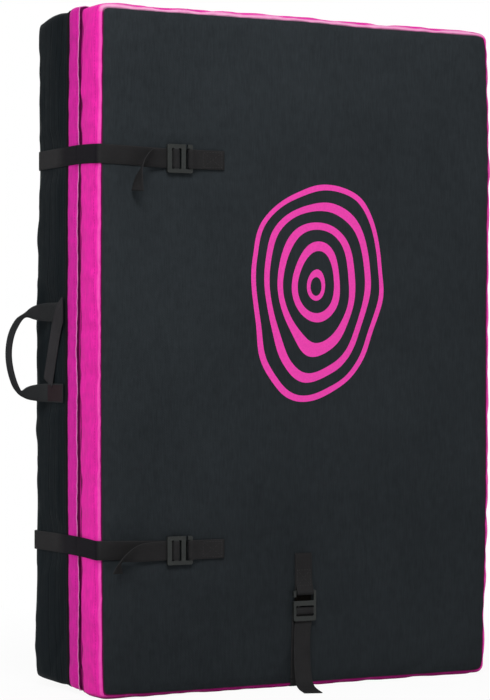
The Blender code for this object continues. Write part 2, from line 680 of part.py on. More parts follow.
def build_handle():
    """Webbing handle sewn into the cover's front seam, with a flat strand over its two ends."""
    side = PAD_X - half_width_at(MID_HEIGHT) - BINDING_PROUD
    start = COVER_START + CLEAR + WEB
    flat = CLEAR + WEB / 2
    pivot = add_pivot("handle_axis", Vector((side - flat, FACE_Y + start, HANDLE_TOP)))
    path, across, widths, depths = [], [], [], []
    for out, back, down, turned, rolled in handle_shares:
        x = side - flat - (HANDLE_STANDOUT + SIDE_BULGE - flat - BINDING_PROUD) * out
        path.append(Vector((x, FACE_Y + start + HANDLE_REACH_BACK * back, HANDLE_TOP - HANDLE_SPAN * down)))
        angle = math.pi * turned
        across.append(Vector((0, math.sin(angle), math.cos(angle))))
        widths.append(WEB_WIDTH + (GRIP_WIDTH - WEB_WIDTH) * rolled)
        depths.append(WEB + (GRIP_THICKNESS - WEB) * rolled)
    add_ribbon("carry_handle", path, across, widths, depths, WEBBING, pivot)
    over = side - flat - WEB - CLEAR
    strand_foot = WEB_WIDTH / 2 + STRAND_FOOT
    strand = [
        Vector((over, FACE_Y + start + WEB_WIDTH / 2, HANDLE_TOP)),
        Vector((over, FACE_Y + start + STRAND_BACK, HANDLE_TOP - HANDLE_SPAN + strand_foot)),
    ]
    add_webbing("handle_strand", strand, Vector((0, 1, 0)), WEBBING, pivot)


def build_hinge():
    """Rolled fabric along the fold, on its axis."""
    x = PAD_X + PAD_WIDTH / 2 + HINGE_OFFSET
    bm = bmesh.new()
    length = FRONT_HEIGHT - 2 * HINGE_END
    place = Matrix.Translation((x, FACE_Y + MID_GAP, HINGE_END + length / 2))
    bmesh.ops.create_cone(
        bm, cap_ends=True, segments=12, radius1=HINGE_RADIUS, radius2=HINGE_RADIUS,
        depth=length, matrix=place,
    )
    add_piece("hinge_fabric", bm, BLACK)


def add_box(name, low, high, bevel, finish, pivot=None):
    low, high = Vector(low), Vector(high)
    size = high - low
    bm = bmesh.new()
    place = Matrix.Translation((low + high) / 2) @ Matrix.Diagonal((size.x, size.y, size.z, 1))
    bmesh.ops.create_cube(bm, size=1, matrix=place)
    bmesh.ops.bevel(bm, geom=bm.edges[:], offset=bevel, segments=1, affect="EDGES")
    return add_piece(name, bm, finish, pivot, smooth=False)


# A padded strip's section as shares of half its width and of its thickness
section_shares = (
    (-1.00, 0.20), (-0.86, 0.00), (0.86, 0.00), (1.00, 0.20), (1.00, 0.62),
    (0.80, 0.93), (0.35, 1.00), (-0.35, 1.00), (-0.80, 0.93), (-1.00, 0.62),
)
# Shoulder pad stations: place along it, how far it has spread sideways, width and thickness
shoulder_shares = (
    (0.00, 0.00, 0.72, 0.55), (0.05, 0.00, 0.90, 0.90), (0.20, 0.04, 1.00, 1.00), (0.40, 0.22, 1.00, 1.00),
    (0.60, 0.55, 0.96, 1.00), (0.80, 0.86, 0.80, 0.95), (0.95, 0.99, 0.58, 0.85), (1.00, 1.00, 0.46, 0.50),
)
wing_shares = (
    (0.00, 0.94, 0.60), (0.06, 1.00, 0.95), (0.35, 0.97, 1.00), (0.65, 0.80, 1.00),
    (0.90, 0.60, 0.90), (1.00, 0.50, 0.50),
)


def padded_rings(stations, base_y):
    """Rings of a padded strip: each station has its middle, its width direction, width and thickness."""
    rings = []
    for middle, wide, width, thickness in stations:
        rings.append([
            Vector((middle.x, base_y, middle.z))
            + wide * (width / 2 * across)
            + Vector((0, thickness * up, 0))
            for across, up in section_shares
        ])
    return rings


def build_shoulder(side, sign):
    """A shoulder pad that swings at the yoke, with its ladder lock and tail, and the lower webbing."""
    base = FACE_Y + BACK + CLEAR
    top = YOKE_TOP - YOKE_HEIGHT - CLEAR
    axis = Vector((PAD_X + sign * SHOULDER_X, base + PAD_THICKNESS, top))
    pivot = add_pivot("shoulder_" + side + "_axis", axis)
    stations = []
    for along, spread, width, thickness in shoulder_shares:
        x = PAD_X + sign * (SHOULDER_X + SHOULDER_SPREAD * spread)
        middle = Vector((x, base, top - SHOULDER_LENGTH * along))
        stations.append((middle, Vector((1, 0, 0)), SHOULDER_WIDTH * width, PAD_THICKNESS * thickness))
    add_solid("shoulder_pad_" + side, padded_rings(stations, base), BLACK, pivot)

    lock_x = PAD_X + sign * (SHOULDER_X + SHOULDER_SPREAD)
    lock_top = top - SHOULDER_LENGTH - CLEAR
    low_level = CLEAR + WEB / 2
    plate_level = low_level + WEB / 2 + CLEAR + LOCK_PLATE / 2
    half_slot = WEB_WIDTH / 2 + SLOT_SPARE
    outlines = [rounded(rectangle(-LOCK_LENGTH, 0, -LOCK_WIDTH / 2, LOCK_WIDTH / 2), PLATE_CORNER)]
    wall = (LOCK_LENGTH - 2 * SLOT) / 3
    for slot in range(2):
        low = -LOCK_LENGTH + wall + slot * (SLOT + wall)
        outlines.append(rounded(rectangle(low, low + SLOT, -half_slot, half_slot), SLOT_CORNER))
    frame = Matrix((
        (0, -1, 0, lock_x),
        (0, 0, 1, FACE_Y + BACK + plate_level),
        (-1, 0, 0, lock_top),
        (0, 0, 0, 1),
    )) @ Matrix.Rotation(math.pi, 4, "Z")
    add_plate("ladder_lock_" + side, outlines, LOCK_PLATE, frame, MOULDED, pivot)

    lock_foot = lock_top - LOCK_LENGTH
    foot = Vector((PAD_X + sign * LOWER_WEB_X, FACE_Y + BACK + low_level, LOWER_WEB_HEIGHT))
    head = Vector((lock_x, FACE_Y + BACK + low_level, lock_foot))
    run = (foot - head).normalized()
    wide = run.cross(Vector((0, 1, 0)))
    add_webbing("lower_webbing_" + side, [head, foot], wide)

    level = FACE_Y + BACK + plate_level
    tail_top = lock_foot - CLEAR
    tail = [
        Vector((lock_x, level, tail_top)),
        Vector((lock_x, level, tail_top - LOCK_TAIL / 2)),
        Vector((lock_x - sign * WEB_WIDTH / 4, level + WEB, tail_top - LOCK_TAIL)),
    ]
    add_webbing("lock_tail_" + side, tail, Vector((1, 0, 0)), WEBBING, pivot)


def build_yoke():
    low = (PAD_X - YOKE_WIDTH / 2, FACE_Y + BACK + CLEAR, YOKE_TOP - YOKE_HEIGHT)
    high = (PAD_X + YOKE_WIDTH / 2, FACE_Y + BACK + CLEAR + YOKE_THICKNESS, YOKE_TOP)
    add_box("harness_yoke", low, high, YOKE_THICKNESS / 3, BLACK)


def build_belt_wing(side, sign):
    """A hip belt wing that swings out from the back, with its webbing. Returns its pivot."""
    base = FACE_Y + BACK + CLEAR
    axis = Vector((PAD_X + sign * BELT_HINGE_X, base + PAD_THICKNESS, BELT_HEIGHT))
    pivot = add_pivot("belt_" + side + "_axis", axis)
    stations = []
    for along, height, thickness in wing_shares:
        x = PAD_X + sign * (BELT_HINGE_X - WING_LENGTH * along)
        middle = Vector((x, base, BELT_HEIGHT))
        stations.append((middle, Vector((0, 0, 1)), WING_ROOT * height, PAD_THICKNESS * thickness))
    add_solid("belt_wing_" + side, padded_rings(stations, base), BLACK, pivot)
    start = BELT_HINGE_X - WING_LENGTH - CLEAR
    level = base + BUCKLE_THICKNESS / 2
    ends = [Vector((PAD_X + sign * x, level, BELT_HEIGHT)) for x in (start, start - BELT_WEB)]
    add_webbing("belt_webbing_" + side, ends, Vector((0, 0, 1)), WEBBING, pivot)
    return pivot


def build_belt():
    """The belt lies open against the back: the insert's prongs point at the socket's mouth."""
    left_pivot = build_belt_wing("left", -1)
    right_pivot = build_belt_wing("right", 1)
    base = FACE_Y + BACK + CLEAR
    inner = BELT_HINGE_X - WING_LENGTH - CLEAR - BELT_WEB - CLEAR
    half = BUCKLE_WIDTH / 2

    socket_end = PAD_X + inner
    mouth = socket_end - SOCKET_LENGTH
    socket = add_box(
        "buckle_socket", (mouth, base, BELT_HEIGHT - half),
        (socket_end, base + BUCKLE_THICKNESS, BELT_HEIGHT + half), SOCKET_WALL / 2, MOULDED, right_pivot,
    )
    bm = bmesh.new()
    low = Vector((mouth - CUT_OVERRUN, base + SOCKET_WALL, BELT_HEIGHT - half + SOCKET_WALL))
    top = BELT_HEIGHT + half - SOCKET_WALL
    high = Vector((mouth + SOCKET_HOLLOW, base + BUCKLE_THICKNESS - SOCKET_WALL, top))
    size = high - low
    place = Matrix.Translation((low + high) / 2) @ Matrix.Diagonal((size.x, size.y, size.z, 1))
    bmesh.ops.create_cube(bm, size=1, matrix=place)
    mesh = bpy.data.meshes.new("socket_hollow_cutter")
    bm.to_mesh(mesh)
    bm.free()
    cutter = bpy.data.objects.new("socket_hollow_cutter", mesh)
    cutters.objects.link(cutter)
    cutter.hide_render = True
    cutter.display_type = "WIRE"
    hollow = socket.modifiers.new("Hollow", "BOOLEAN")
    hollow.operation = "DIFFERENCE"
    hollow.object = cutter

    spine = PRONG_WIDTH / 2
    side_prong = half - SOCKET_WALL - CLEAR - PRONG_WIDTH
    outer = half - SOCKET_WALL - CLEAR
    tip = INSERT_BASE + PRONG_LENGTH
    points = [(0, -half), (INSERT_BASE, -half), (INSERT_BASE, -outer), (tip, -outer + spine)]
    points += [(tip, -side_prong), (INSERT_BASE, -side_prong), (INSERT_BASE, -spine)]
    points += [(tip, -spine), (tip, spine)]
    points += [(INSERT_BASE, spine), (INSERT_BASE, side_prong), (tip, side_prong), (tip, outer - spine)]
    points += [(INSERT_BASE, outer), (INSERT_BASE, half), (0, half)]
    frame = Matrix((
        (1, 0, 0, PAD_X - inner),
        (0, 0, -1, base + BUCKLE_THICKNESS / 2),
        (0, 1, 0, BELT_HEIGHT),
        (0, 0, 0, 1),
    ))
    add_plate("buckle_insert", [[Vector(p) for p in points]], PRONG_THICKNESS, frame, MOULDED, left_pivot)


clear_scene()
parts = new_collection("bouldering_crash_pad")
cutters = new_collection("cutters")
fold_x = PAD_X + PAD_WIDTH / 2 + HINGE_OFFSET
front_pivot = add_pivot("fold_axis", Vector((fold_x, FACE_Y + MID_GAP, 0)))
build_front_half(front_pivot)
build_rear_half()
build_cover()
build_hinge()
build_side_strap("upper_strap", UPPER_STRAP_HEIGHT, upper_tail)
build_side_strap("lower_strap", LOWER_STRAP_HEIGHT, lower_tail)
build_bottom_strap()
build_handle()
build_yoke()
build_shoulder("left", -1)
build_shoulder("right", 1)
build_belt()
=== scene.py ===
import math

import bpy
import numpy as np
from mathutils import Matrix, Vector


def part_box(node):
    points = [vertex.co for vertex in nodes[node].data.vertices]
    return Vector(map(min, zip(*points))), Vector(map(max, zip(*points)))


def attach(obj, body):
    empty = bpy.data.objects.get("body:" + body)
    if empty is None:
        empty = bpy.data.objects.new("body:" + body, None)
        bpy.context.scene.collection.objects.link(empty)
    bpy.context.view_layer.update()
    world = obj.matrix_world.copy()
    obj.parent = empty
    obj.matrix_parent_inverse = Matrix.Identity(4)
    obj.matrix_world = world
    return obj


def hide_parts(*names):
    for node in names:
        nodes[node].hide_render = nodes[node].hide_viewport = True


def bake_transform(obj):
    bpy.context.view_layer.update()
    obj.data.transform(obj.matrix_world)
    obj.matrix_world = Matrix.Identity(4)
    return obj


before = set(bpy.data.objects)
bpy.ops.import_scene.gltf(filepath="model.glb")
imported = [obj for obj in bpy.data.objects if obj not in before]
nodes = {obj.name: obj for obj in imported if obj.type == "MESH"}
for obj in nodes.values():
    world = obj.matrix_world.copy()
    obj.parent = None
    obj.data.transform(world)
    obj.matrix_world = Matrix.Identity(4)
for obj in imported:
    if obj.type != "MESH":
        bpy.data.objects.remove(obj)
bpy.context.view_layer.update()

scene = bpy.context.scene

# where the pad is, read from the frame
frontLow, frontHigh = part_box("front_gusset")
padX = (frontLow.x + frontHigh.x) / 2
faceY = frontLow.y
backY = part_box("back_cover")[1].y

pad = {
    "width": 0.602, "height": 0.898, "frontDrop": 0.001, "bow": 0.003, "topBow": 0.0005,
    "openCorner": 0.0045, "foldCorner": 0.013, "cell": 0.0085,
    "grooveX": 0.001, "grooveHalf": 0.019, "grooveShift": -0.003, "groove": 0.0019,
}
middle = pad["height"] / 2
print("frame loaded, pad middle at", round(padX, 4), "face at", round(faceY, 4))


def gridQuads(rows, cols, start=0, closed=False):
    # corner numbers of the quads of a grid of rows by cols points, closed if its columns wrap round
    index = start + np.arange(rows * cols).reshape(rows, cols)
    if closed:
        index = np.hstack([index, index[:, :1]])
    a, b, c, d = index[:-1, :-1], index[:-1, 1:], index[1:, 1:], index[1:, :-1]
    return np.stack([a, b, c, d], -1).reshape(-1, 4)


def cornersOf(values, closed=False):
    # the four corner values of each quad of a grid of values, in the order of gridQuads
    if closed:
        values = np.concatenate([values, values[:, :1]], 1)
    corners = [values[:-1, :-1], values[:-1, 1:], values[1:, 1:], values[1:, :-1]]
    return np.stack(corners, 2).reshape(-1, 4, values.shape[-1])


def makeMesh(name, points, quads, uv=None, slots=None, ends=(), edge=None):
    mesh = bpy.data.meshes.new(name)
    mesh.from_pydata(points.tolist(), [], quads.tolist() + [list(end) for end in ends])
    for layerName, values in (("UVMap", uv), ("edge", edge)):
        if values is not None:
            layer = mesh.uv_layers.new(name=layerName)
            flat = np.zeros((len(mesh.loops), 2), np.float32)
            flat[:len(values)] = values
            layer.data.foreach_set("uv", flat.ravel())
    if slots is not None:
        filled = np.zeros(len(mesh.polygons), np.int32)
        filled[:len(slots)] = slots
        mesh.polygons.foreach_set("material_index", filled)
    mesh.polygons.foreach_set("use_smooth", np.arange(len(mesh.polygons)) < len(quads))
    mesh.validate()
    obj = bpy.data.objects.new(name, mesh)
    scene.collection.objects.link(obj)
    return obj


def readVectors(mesh, key):
    flat = np.zeros(len(mesh.vertices) * 3, np.float32)
    mesh.vertices.foreach_get(key, flat)
    return flat.reshape(-1, 3).astype(float)


def pointsOf(obj):
    return readVectors(obj.data, "co")


def normalsOf(obj):
    return readVectors(obj.data, "normal")


def setPoints(obj, points):
    obj.data.vertices.foreach_set("co", points.astype(np.float32).ravel())
    obj.data.update()


def ripple(points, size, count, seed, stretch=(1, 1, 1)):
    # a smooth random field about -1 to 1: the mean of sine waves with seeded directions, whose
    # wavelengths lie round size, each wave sin(2 pi k . p + phase)
    random = np.random.default_rng(seed)
    ways = random.normal(size=(count, 3)) * np.array(stretch)
    ways /= np.linalg.norm(ways, axis=1, keepdims=True)
    ways /= size * random.uniform(0.6, 1.6, (count, 1))
    phases = random.uniform(0, 2 * math.pi, count)
    return np.sin(2 * math.pi * points @ ways.T + phases).sum(-1) / math.sqrt(count)


def runAlong(points):
    # how far along a line each of its points lies
    return np.concatenate([[0], np.cumsum(np.linalg.norm(np.diff(points, axis=0), axis=1))])


def smoothStep(value, low, high):
    # 0 up to low, 1 from high on, and 3t^2 - 2t^3 between them
    t = np.clip((value - low) / (high - low), 0, 1)
    return t * t * (3 - 2 * t)


def bump(distance, width):
    # a bell: 1 at the middle, near 0 past the width
    return np.exp(-(distance / width) ** 2)


def segmentDistance(x, z, ends):
    # distance from each point to the line between two points, and how far along it, 0 to 1
    ax, az, bx, bz = ends
    dx, dz = bx - ax, bz - az
    along = np.clip(((x - ax) * dx + (z - az) * dz) / (dx * dx + dz * dz), 0, 1)
    return np.hypot(x - ax - along * dx, z - az - along * dz), along


def roundedSides(height, inset):
    # a rectangle with round corners, whose sides and top bow out as parabolas, as four runs that
    # start in the middle of a corner: bottom, fold side, top, open side
    fold = max(pad["foldCorner"] - inset, 0.002)
    opening = max(pad["openCorner"] - inset, 0.002)
    side = pad["width"] / 2 - inset
    low, top = max(inset, 0), height - inset
    high = top - pad["topBow"]
    right, left = side - pad["bow"] - fold, side - pad["bow"] - opening

    def arc(x, z, radius, start):
        angle = np.radians(start + np.linspace(0, 90, 25))
        return np.stack([x + radius * np.cos(angle), z + radius * np.sin(angle)], 1)

    def bowed(start, end, out):
        t = np.linspace(0, 1, 60)[1:-1]
        rise = 1 - (2 * t - 1) ** 2
        line = start + (end - start) * t[:, None]
        return line + np.array(out) * rise[:, None]

    corners = [
        arc(-left, low + opening, opening, 180), arc(right, low + fold, fold, 270),
        arc(right, high - fold, fold, 0), arc(-left, high - opening, opening, 90),
    ]
    runs = []
    for i, out in enumerate([(0, 0), (pad["bow"], 0), (0, pad["topBow"]), (-pad["bow"], 0)]):
        first, last = corners[i], corners[(i + 1) % 4]
        runs.append(np.vstack([first[12:], bowed(first[-1], last[0], out), last[:13]]))
    return runs


def ringAt(height, depth, inset, counts):
    # one ring of points round the pad at a depth behind its face, evenly stepped along each side
    flat = []
    for run, count in zip(roundedSides(height, inset), counts):
        length = runAlong(run)
        places = np.linspace(0, length[-1], count + 1)[:-1]
        flat.append(np.stack([np.interp(places, length, column) for column in run.T], 1))
    flat = np.vstack(flat)
    # the bottom strap presses a groove into the lower edge
    fromGroove = np.abs(flat[:, 0] - pad["grooveX"] - pad["grooveShift"])
    over = 1 - smoothStep(fromGroove, pad["grooveHalf"], pad["grooveHalf"] + 0.003)
    flat[:, 1] += over * pad["groove"] * (flat[:, 1] < 0.004)
    return np.stack([padX + flat[:, 0], np.full(len(flat), faceY + depth), flat[:, 1]], 1)


def facePatch(ring, counts, crown, facing):
    # the inside of a face: each point blends its ring's four sides, and the face rises to its crown
    # as 1 - d^2.4, where d is 0 in the middle and 1 on the border
    nx, nz = counts[0], counts[1]
    closed = np.vstack([ring, ring[:1]])
    bottom, right = closed[:nx + 1], closed[nx:nx + nz + 1]
    top, left = closed[nx + nz:2 * nx + nz + 1][::-1], closed[2 * nx + nz:][::-1]
    s, t = np.meshgrid(np.linspace(0, 1, nx + 1), np.linspace(0, 1, nz + 1))
    s, t = s[..., None], t[..., None]
    points = (1 - t) * bottom[None] + t * top[None] + (1 - s) * left[:, None] + s * right[:, None]
    points -= (1 - s) * (1 - t) * bottom[0] + s * (1 - t) * bottom[-1]
    points -= (1 - s) * t * top[0] + s * t * top[-1]
    share = np.maximum(np.abs(2 * s - 1), np.abs(2 * t - 1))[..., 0]
    points[..., 1] += facing * crown * (1 - share ** 2.4)
    return points


def padSkin(name, height, profile, crowns, slotOf, landing):
    # a closed skin: a front face, rings down the profile of (depth, inset), and a back face. The
    # landing face, which looks along landing, has a rim of the side's pink
    counts = [int(pad["width"] / pad["cell"]), int(height / pad["cell"])] * 2
    around = sum(counts)
    rings = [ringAt(height, depth, inset, counts) for depth, inset in profile]
    points = np.vstack(rings)
    quads = gridQuads(len(rings), around, 0, True)[:, ::-1]
    reach = runAlong(np.vstack([rings[0], rings[0][:1]]))
    down = runAlong(np.array(profile))
    u, v = np.meshgrid(reach, down)
    uv = cornersOf(np.stack([u, v], -1))[:, ::-1].reshape(-1, 2)
    slots = np.repeat([slotOf(i) for i in range(len(rings) - 1)], around)
    nx, nz = counts[:2]
    faces = ((0, -1, crowns[0], slotOf(-1)), (len(rings) - 1, 1, crowns[1], slotOf(-2)))
    for ringIndex, facing, crown, slot in faces:
        patch = facePatch(rings[ringIndex], counts, crown, facing)
        rows, cols = patch.shape[:2]
        loop = ringIndex * around + np.arange(around + 1)
        loop[-1] = ringIndex * around
        index = np.zeros((rows, cols), int)
        index[1:-1, 1:-1] = len(points) + np.arange((rows - 2) * (cols - 2)).reshape(rows - 2, cols - 2)
        index[0], index[:, -1] = loop[:nx + 1], loop[nx:nx + nz + 1]
        index[-1], index[:, 0] = loop[nx + nz:2 * nx + nz + 1][::-1], loop[2 * nx + nz:][::-1]
        face = cornersOf(index[..., None])[..., 0]
        faceUv = cornersOf(patch[..., [0, 2]])
        rim = np.ones((rows - 1, cols - 1), bool)
        rim[2:-2, 2:-2] = False
        patchSlots = np.where(rim.ravel() & (facing == landing), 1, slot)
        if facing > 0:
            face, faceUv = face[:, ::-1], faceUv[:, ::-1]
        points = np.vstack([points, patch[1:-1, 1:-1].reshape(-1, 3)])
        quads = np.vstack([quads, face])
        uv = np.vstack([uv, faceUv.reshape(-1, 2)])
        slots = np.concatenate([slots, patchSlots])
    obj = makeMesh(name, points, quads, uv, slots)
    return obj, around, down


cloths = []
clothSteps = 20
coatedNylon = {
    "quality": 4, "mass": 0.3, "tension_stiffness": 12, "compression_stiffness": 12,
    "shear_stiffness": 4, "use_pressure": True, "vertex_group_mass": "sewn",
}


def layCloth(obj, pinned, settings):
    # gets a skin ready to be blown up a little between its sewn rings
    group = obj.vertex_groups.new(name="sewn")
    group.add([int(i) for i in pinned], 1.0, "REPLACE")
    cloth = obj.modifiers.new("Cloth", "CLOTH")
    for key, value in coatedNylon.items():
        setattr(cloth.settings, key, value)
    cloth.settings.bending_stiffness = settings["bending"]
    cloth.settings.uniform_pressure_force = settings["pressure"]
    cloth.settings.shrink_min = -settings["spare"]
    cloth.settings.effector_weights.gravity = 0
    cloth.collision_settings.use_collision = False
    cloths.append((obj, pointsOf(obj), normalsOf(obj), settings))


def blowUp():
    # steps the cloth, then keeps each point within its cap and takes the Cloth off again
    for step in range(clothSteps):
        scene.frame_set(step + 1)
    graph = bpy.context.evaluated_depsgraph_get()
    for obj, start, normals, settings in cloths:
        moved = np.zeros_like(start)
        moved = readVectors(obj.evaluated_get(graph).data, "co") - start
        out = (moved * normals).sum(1)
        capped = np.clip(out, -settings["sink"], settings["swell"])
        slide = moved - out[:, None] * normals
        length = np.linalg.norm(slide, axis=1, keepdims=True)
        slide *= np.minimum(1, settings["slide"] / np.maximum(length, 1e-9))
        obj.modifiers.clear()
        obj.vertex_groups.clear()
        setPoints(obj, start + slide + capped[:, None] * normals)
        print("cloth on", obj.name, "moved", round(float(np.abs(out).max()) * 1000, 1), "mm")
    scene.frame_set(1)


def subdivide(obj, levels=1):
    fine = obj.modifiers.new("Smooth", "SUBSURF")
    fine.levels = fine.render_levels = levels
    fine.boundary_smooth = "PRESERVE_CORNERS"


class Wire:
    # a socket in a node tree, on which + - * / build Math nodes
    def __init__(self, finish, socket):
        self.finish, self.socket = finish, socket

    def maths(self, operation, *others):
        values = dict(enumerate((self, *others)))
        return self.finish.add("ShaderNodeMath", {"operation": operation}, values)

    def __add__(self, other):
        return self.maths("ADD", other)

    def __sub__(self, other):
        return self.maths("SUBTRACT", other)

    def __rsub__(self, other):
        return self.finish.add("ShaderNodeMath", {"operation": "SUBTRACT"}, {0: other, 1: self})

    def __mul__(self, other):
        return self.maths("MULTIPLY", other)

    def __truediv__(self, other):
        return self.maths("DIVIDE", other)

    def __lt__(self, other):
        return self.maths("LESS_THAN", other)

    def __gt__(self, other):
        return self.maths("GREATER_THAN", other)

    __radd__, __rmul__ = __add__, __mul__


class Finish:
    # one material and its nodes
    def __init__(self, name, **sockets):
        self.material = bpy.data.materials.new(name)
        self.material.use_nodes = True
        self.tree = self.material.node_tree
        self.shader = self.tree.nodes["Principled BSDF"]
        for key, value in sockets.items():
            self.feed(key.replace("_", " "), value)

    def feed(self, key, value):
        self.connect(self.shader.inputs[key], value)

    def connect(self, socket, value):
        if isinstance(value, Wire):
            self.tree.links.new(value.socket, socket)
        else:
            socket.default_value = value

    def add(self, kind, settings=None, values=None, output=0):
        node = self.tree.nodes.new(kind)
        for key, value in (settings or {}).items():
            if key == "stops":
                elements = node.color_ramp.elements
                while len(elements) < len(value):
                    elements.new(0.5)
                for element, (place, colour) in zip(elements, value):
                    element.position, element.color = place, colour
            else:
                setattr(node, key, value)
        for key, value in (values or {}).items():
            self.connect(node.inputs[key], value)
        return Wire(self, node.outputs[output])

    def place(self, kind="Object"):
        return self.add("ShaderNodeTexCoord", output=kind)

    def axes(self, vector):
        node = self.add("ShaderNodeSeparateXYZ", None, {0: vector}).socket.node
        return [Wire(self, node.outputs[i]) for i in range(3)]

    def noise(self, vector, scale, detail=2.0, roughness=0.5):
        values = {"Vector": vector, "Scale": scale, "Detail": detail, "Roughness": roughness}
        return self.add("ShaderNodeTexNoise", None, values)

    def scaled(self, vector, scale):
        return self.add("ShaderNodeVectorMath", {"operation": "MULTIPLY"}, {0: vector, 1: scale})

    def mix(self, factor, first, second):
        return self.add("ShaderNodeMix", {"data_type": "RGBA"}, {0: factor, 6: first, 7: second}, 2)

    def between(self, value, low, high, start=0.0, end=1.0):
        values = {"Value": value, "From Min": low, "From Max": high, "To Min": start, "To Max": end}
        return self.add("ShaderNodeMapRange", None, values)

    def relief(self, height, distance, strength=1.0, normal=None):
        values = {"Height": height, "Distance": distance, "Strength": strength}
        if normal is not None:
            values["Normal"] = normal
        return self.add("ShaderNodeBump", None, values)


def tint(colour, level=1.0):
    return (colour[0] * level, colour[1] * level, colour[2] * level, 1.0)


weave = {
    "pitch": 0.0011, "relief": 0.00012,
    "stitchPitch": 0.0042, "stitchLength": 0.62, "stitchWidth": 0.00045,
}


def wovenHeight(u, v, pitch):
    # plain weave: threads along u and v pass over each other in turn, sin(u) sin(v)
    return (u * (math.pi / pitch)).maths("SINE") * (v * (math.pi / pitch)).maths("SINE")


def stitchMask(along, away, line, width=weave["stitchWidth"]):
    # a row of stitches: dashes along a seam at a distance from it
    dash = (along / weave["stitchPitch"]).maths("FRACT") < weave["stitchLength"]
    return dash * ((away - line).maths("ABSOLUTE") < width)


def near(value, place, width):
    # 1 at a place, falling in a straight line to 0 at the width
    return (1 - (value - place).maths("ABSOLUTE") / width).maths("MAXIMUM", 0.0)


def shellCloth(name, colour, kind):
    # coated nylon: colour that wanders a little, weave in relief, long soft folds with painted shade
    # along them, painted shade along seams and in the fold gap, rows of stitches, painted highlights
    # as paler strips, painted shade near the floor, and edges that are partly rubbed and partly
    # painted highlight, all at their distances down the side
    finish = Finish(name, Sheen_Weight=0.0, Sheen_Roughness=0.5, Specular_IOR_Level=kind["gloss"])
    where = finish.place()
    u, v, _ = finish.axes(finish.place("UV"))
    wide = finish.noise(where, 6.0, 3.0)
    fine = finish.noise(where, 90.0, 2.0)
    threads = finish.noise(finish.scaled(where, (700.0, 700.0, 60.0)), 1.0, 1.0)
    fade = kind["fade"]
    level = finish.between(wide, 0.3, 0.7, -fade, fade) + finish.between(fine, 0.3, 0.7, -0.09, 0.09)
    level = level + finish.between(threads, 0.3, 0.7, -0.12, 0.12) + 0.5  # half way is the plain colour
    base = finish.mix(level, tint(colour, 0.62), tint(colour, 1.38))
    normal = finish.relief(wovenHeight(u, v, weave["pitch"]), weave["relief"], 0.55)
    creases = finish.noise(finish.scaled(where, kind["creaseScale"]), 1.0, 4.0, 0.6)
    normal = finish.relief(creases, kind["creases"], 0.5, normal)
    for place, width, depth in kind.get("folds", ()):
        wander = finish.noise(finish.scaled(where, (3.0, 3.0, 5.0)), 1.0, 1.0)
        fold = near(v + (wander - 0.5) * 0.01, place, width)
        normal = finish.relief(fold, -depth, 1.0, normal)
        # painted shade in the line of each fold
        base = finish.mix(fold * 0.45, base, tint(colour, 0.35))
    # painted shade along seams and in the fold gap
    for place, width, shade in kind.get("seams", ()):
        plateau = (near(v, place, width) * 2.2).maths("MINIMUM", 1.0)
        base = finish.mix(plateau, base, tint(colour, shade))
    for row in kind.get("rows", ()):
        mask = stitchMask(u, v, row)
        base = finish.mix(mask, base, tint(colour, kind["thread"]))
        normal = finish.relief(mask, 0.0006, 0.8, normal)
    # painted highlights: a paler colour along a rolled edge, from a height up
    for place, width, pale, low in kind.get("paintedHighlights", ()):
        high = finish.axes(where)[2]
        lit = near(v, place, width).maths("POWER", 0.8) * finish.between(high, low, low + 0.006)
        base = finish.mix(lit * finish.between(fine, 0.2, 0.8, 0.62, 1.0), base, tint(pale))
    # painted shade: darker below a height, towards the floor
    for high, low in kind.get("floorShade", ()):
        paintedShade = finish.between(finish.axes(where)[2], high, low)
        base = finish.mix(paintedShade, base, tint(colour, 0.3))
    # partly wear, partly a painted highlight along a rolled edge
    for place, width in kind.get("wornAndLit", ()):
        rubAndLit = near(v, place, width) * finish.between(finish.noise(where, 35.0, 4.0, 0.7), 0.45, 0.75)
        base = finish.mix(rubAndLit * 0.35, base, tint(colour, 1.9))
    finish.feed("Base Color", base)
    finish.feed("Roughness", finish.between(fine, 0.3, 0.7, kind["rough"] - 0.06, kind["rough"] + 0.06))
    finish.feed("Normal", normal)
    return finish


# base colours, as linear light
fabric = {
    "charcoal": (0.0218, 0.0262, 0.0296), "black": (0.0068, 0.0096, 0.0114),
    # the rubbed colour is a painted highlight along the cover's back roll
    "rubbed": (0.0185, 0.0262, 0.0255),
    # the two colours after pink are painted highlights on the front pink: along its rolled edge and
    # along its top edge
    "pink": (0.77, 0.022, 0.36), "rolled": (0.88, 0.11, 0.48), "topHighlight": (0.84, 0.46, 0.66),
    # the welt colour is paler than the rear pink, as a painted highlight on the lip's edge
    "rearPink": (0.62, 0.019, 0.32), "welt": (0.76, 0.25, 0.56),
    "webbing": (0.0205, 0.0202, 0.021), "strand": (0.0275, 0.0262, 0.0285),
    "arm": (0.0215, 0.0228, 0.0238),
    # shade is the near-black of the strip that paints shade in the buckles' throats
    "shade": (0.005, 0.004, 0.0032), "tape": (0.0085, 0.007, 0.0085), "mesh": (0.016, 0.017, 0.018),
    "plastic": (0.0165, 0.0186, 0.0178),
}
art = {
    "x": 0.0195, "z": 0.5335, "width": 0.204, "height": 0.296, "rings": 4.6, "line": 0.2, "wobble": 0.55,
    "colour": (0.84, 0.06, 0.42),
}
shell = {"gloss": 0.02, "fade": 0.12, "rough": 0.72, "creases": 0.0022, "creaseScale": (14.0, 40.0, 9.0)}


